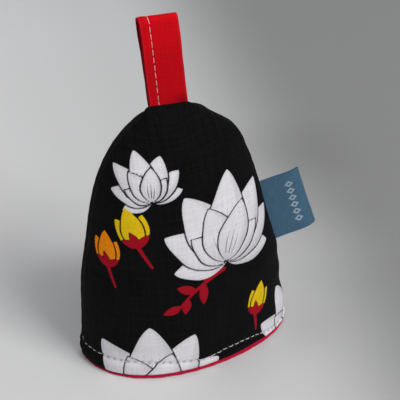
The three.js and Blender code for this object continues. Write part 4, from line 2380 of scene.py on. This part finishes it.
@dataclass
class Studio:
    """Floor, lights, ambient light and camera.

    Attributes:
        form: The cover's form.
        azimuth: The camera's turn to the left of straight on, in degrees.
        elevation: Its height over the floor, in degrees.
        distance: From the aimed point, in metres.
        lens: Focal length.
        aim_right: How far it looks to the right of that point, in degrees.
        aim_up: How far it looks over it.
        aim_height: Height of that point, in metres.
        ambient: Strength of the even light.
        sky: Its linear colour.
        lights: The soft lights.
        light_height: Height of what they point at, in metres.
        floor_reach: Half the floor's side, in metres.
        floor_gap: Its depth under the cosy, in metres.
    """

    form: CosyForm
    azimuth: float = 20.0
    elevation: float = 35.0
    distance: float = 0.55
    lens: float = 137.96
    aim_right: float = 0.624
    aim_up: float = 1.192
    aim_height: float = 0.045
    ambient: float = 0.40
    sky: Triple = (0.97, 0.98, 1.0)
    lights: tuple[SoftLight, ...] = (
        SoftLight("window", (0.31, -0.55, 0.76), 0.45, 5.6),
        SoftLight("fill", (-0.62, -0.62, 0.60), 0.5, 0.45),
    )
    light_height: float = 0.04
    floor_reach: float = 2.5
    floor_gap: float = 0.0001

    def set_camera(self) -> None:
        """Places the camera and makes it the scene's."""
        lens = bpy.data.cameras.new("camera")
        lens.lens = self.lens
        lens.sensor_width = SENSOR
        lens.sensor_fit = "HORIZONTAL"
        lens.clip_start = NEAREST
        turn, lift = math.radians(self.azimuth), math.radians(self.elevation)
        flat = math.cos(lift)
        back = Vector((-math.sin(turn) * flat, -math.cos(turn) * flat, math.sin(lift)))
        aim = Vector((self.form.origin_x * MM, self.form.seam_y * MM, self.aim_height))
        looking = (-back).to_track_quat("-Z", "Y").to_matrix().to_4x4()
        pan = Matrix.Rotation(math.radians(-self.aim_right), 4, "Y")
        tilt = Matrix.Rotation(math.radians(self.aim_up), 4, "X")
        camera = put_in_scene("camera", lens)
        camera.matrix_world = Matrix.Translation(aim + back * self.distance) @ looking @ pan @ tilt
        bpy.context.scene.camera = camera

    def light(self) -> None:
        """Adds the even light and hangs the soft ones."""
        world = bpy.data.worlds.new("even_light")
        world.use_nodes = True
        ground = world.node_tree.nodes["Background"]
        ground.inputs["Color"].default_value = (*self.sky, 1.0)
        ground.inputs["Strength"].default_value = self.ambient
        bpy.context.scene.world = world
        for light in self.lights:
            light.hang(Vector((0.0, 0.0, self.light_height)))

    def lay_floor(self) -> None:
        """Lays the paper that the cosy stands on."""
        reach = self.floor_reach
        corners = [(x * reach, y * reach, 0.0) for x, y in ((-1, -1), (1, -1), (1, 1), (-1, 1))]
        mesh = bpy.data.meshes.new("floor")
        mesh.from_pydata(corners, [], [(0, 1, 2, 3)])
        mesh.materials.append(PaperWithPaintedLight().material())
        floor = put_in_scene("floor", mesh)
        floor.location.z = -self.floor_gap
        floor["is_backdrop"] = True

    def build(self) -> None:
        """Sets the stage."""
        bpy.context.scene.view_settings.view_transform = "Standard"
        self.set_camera()
        self.light()
        self.lay_floor()


# --- Putting it together ---


@dataclass(frozen=True)
class Cut:
    """A sheet's flat size in millimetres, how it is held and the share of that box it fills."""

    width: float
    length: float
    held: str
    share: float = 1.0


@dataclass
class EggCosy:
    """The whole cosy.

    Attributes:
        form: The cover's form.
        hem_stitches: The stitches over the hem.
        loop_stitches: The finer ones on the hanging loop.
        panel_cut: Each panel before sewing.
        lining_cut: Each half of the lining.
        loop_cut: The hanging loop.
        label_cut: The label.
        lining_cotton: What the lining is made of.
        strap_cotton: What the hanging loop is made of.
    """

    form: CosyForm
    hem_stitches: Topstitch = Topstitch()
    loop_stitches: Topstitch = Topstitch(
        pitch=2.93, length=2.62, radius=0.088, rise=0.06, dive=0.12
    )
    panel_cut: Cut = Cut(width=99.0, length=108.0, held="stretched", share=0.80)
    lining_cut: Cut = Cut(width=96.0, length=107.0, held="stretched", share=0.80)
    loop_cut: Cut = Cut(width=13.8, length=76.0, held="folded")
    label_cut: Cut = Cut(width=27.5, length=34.0, held="folded")
    lining_cotton: PlainCotton = PlainCotton("lining_cotton", (196, 10, 56), (130, 5, 34))
    strap_cotton: PlainCotton = PlainCotton(
        "strap_cotton",
        (198, 7, 20),
        (146, 4, 14),
        weave=Weave(pitch=0.36, relief=0.035, slub=0.025, patch=0.02),
        # Painted highlight on the loop's upper half, palest at the fold.
        painted_highlight=(0.15, 35.0, 13.5),
    )

    def fit(self, piece: Piece, node: str, finish: Finish, cut: Cut) -> None:
        """Gives a sheet its finish, hangs it on the root body and hides the CAD node that it stands
        for.

        Args:
            piece: The sheet.
            node: The CAD node that it stands for.
            finish: What it is made of.
            cut: Its flat size. Not used.
        """
        piece.data.materials.append(finish.material())
        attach(piece, "root")
        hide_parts(node)
        LOG.info("%s stands for %s", piece.name, node)

    def build(self) -> None:
        """Builds every piece and ties it to the frame."""
        thread = SewingThread().material()
        panels = [Panel(side, self.form) for side in Side]
        for panel in panels:
            node = panel.side.named("panel")
            self.fit(panel.build(), node, PrintedCotton(), self.panel_cut)
            node = panel.side.named("lining")
            lining = Lining(panel.side, self.form)
            self.fit(lining.build(), node, self.lining_cotton, self.lining_cut)
        loop = HangingLoop(self.form)
        self.fit(loop.build(), "hanging_loop", self.strap_cotton, self.loop_cut)
        label = SideLabel(self.form)
        self.fit(label.build(), "side_label", WovenRibbon(), self.label_cut)
        lines = [panel.stitch_line() for panel in panels]
        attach(self.hem_stitches.sew("hem_topstitch", lines, thread), "root")
        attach(self.loop_stitches.sew("loop_topstitch", [loop.stitch_line()], thread), "root")


def corners() -> list[list[float]]:
    """The model's box as plain lists."""
    return [[float(number) for number in corner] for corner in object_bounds()]


def main() -> None:
    """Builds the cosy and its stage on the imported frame."""
    logging.basicConfig(level=logging.INFO, format="%(name)s: %(message)s")
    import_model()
    form = CosyForm().place()
    EggCosy(form).build()
    Studio(form).build()


if __name__ == "__main__":
    main()
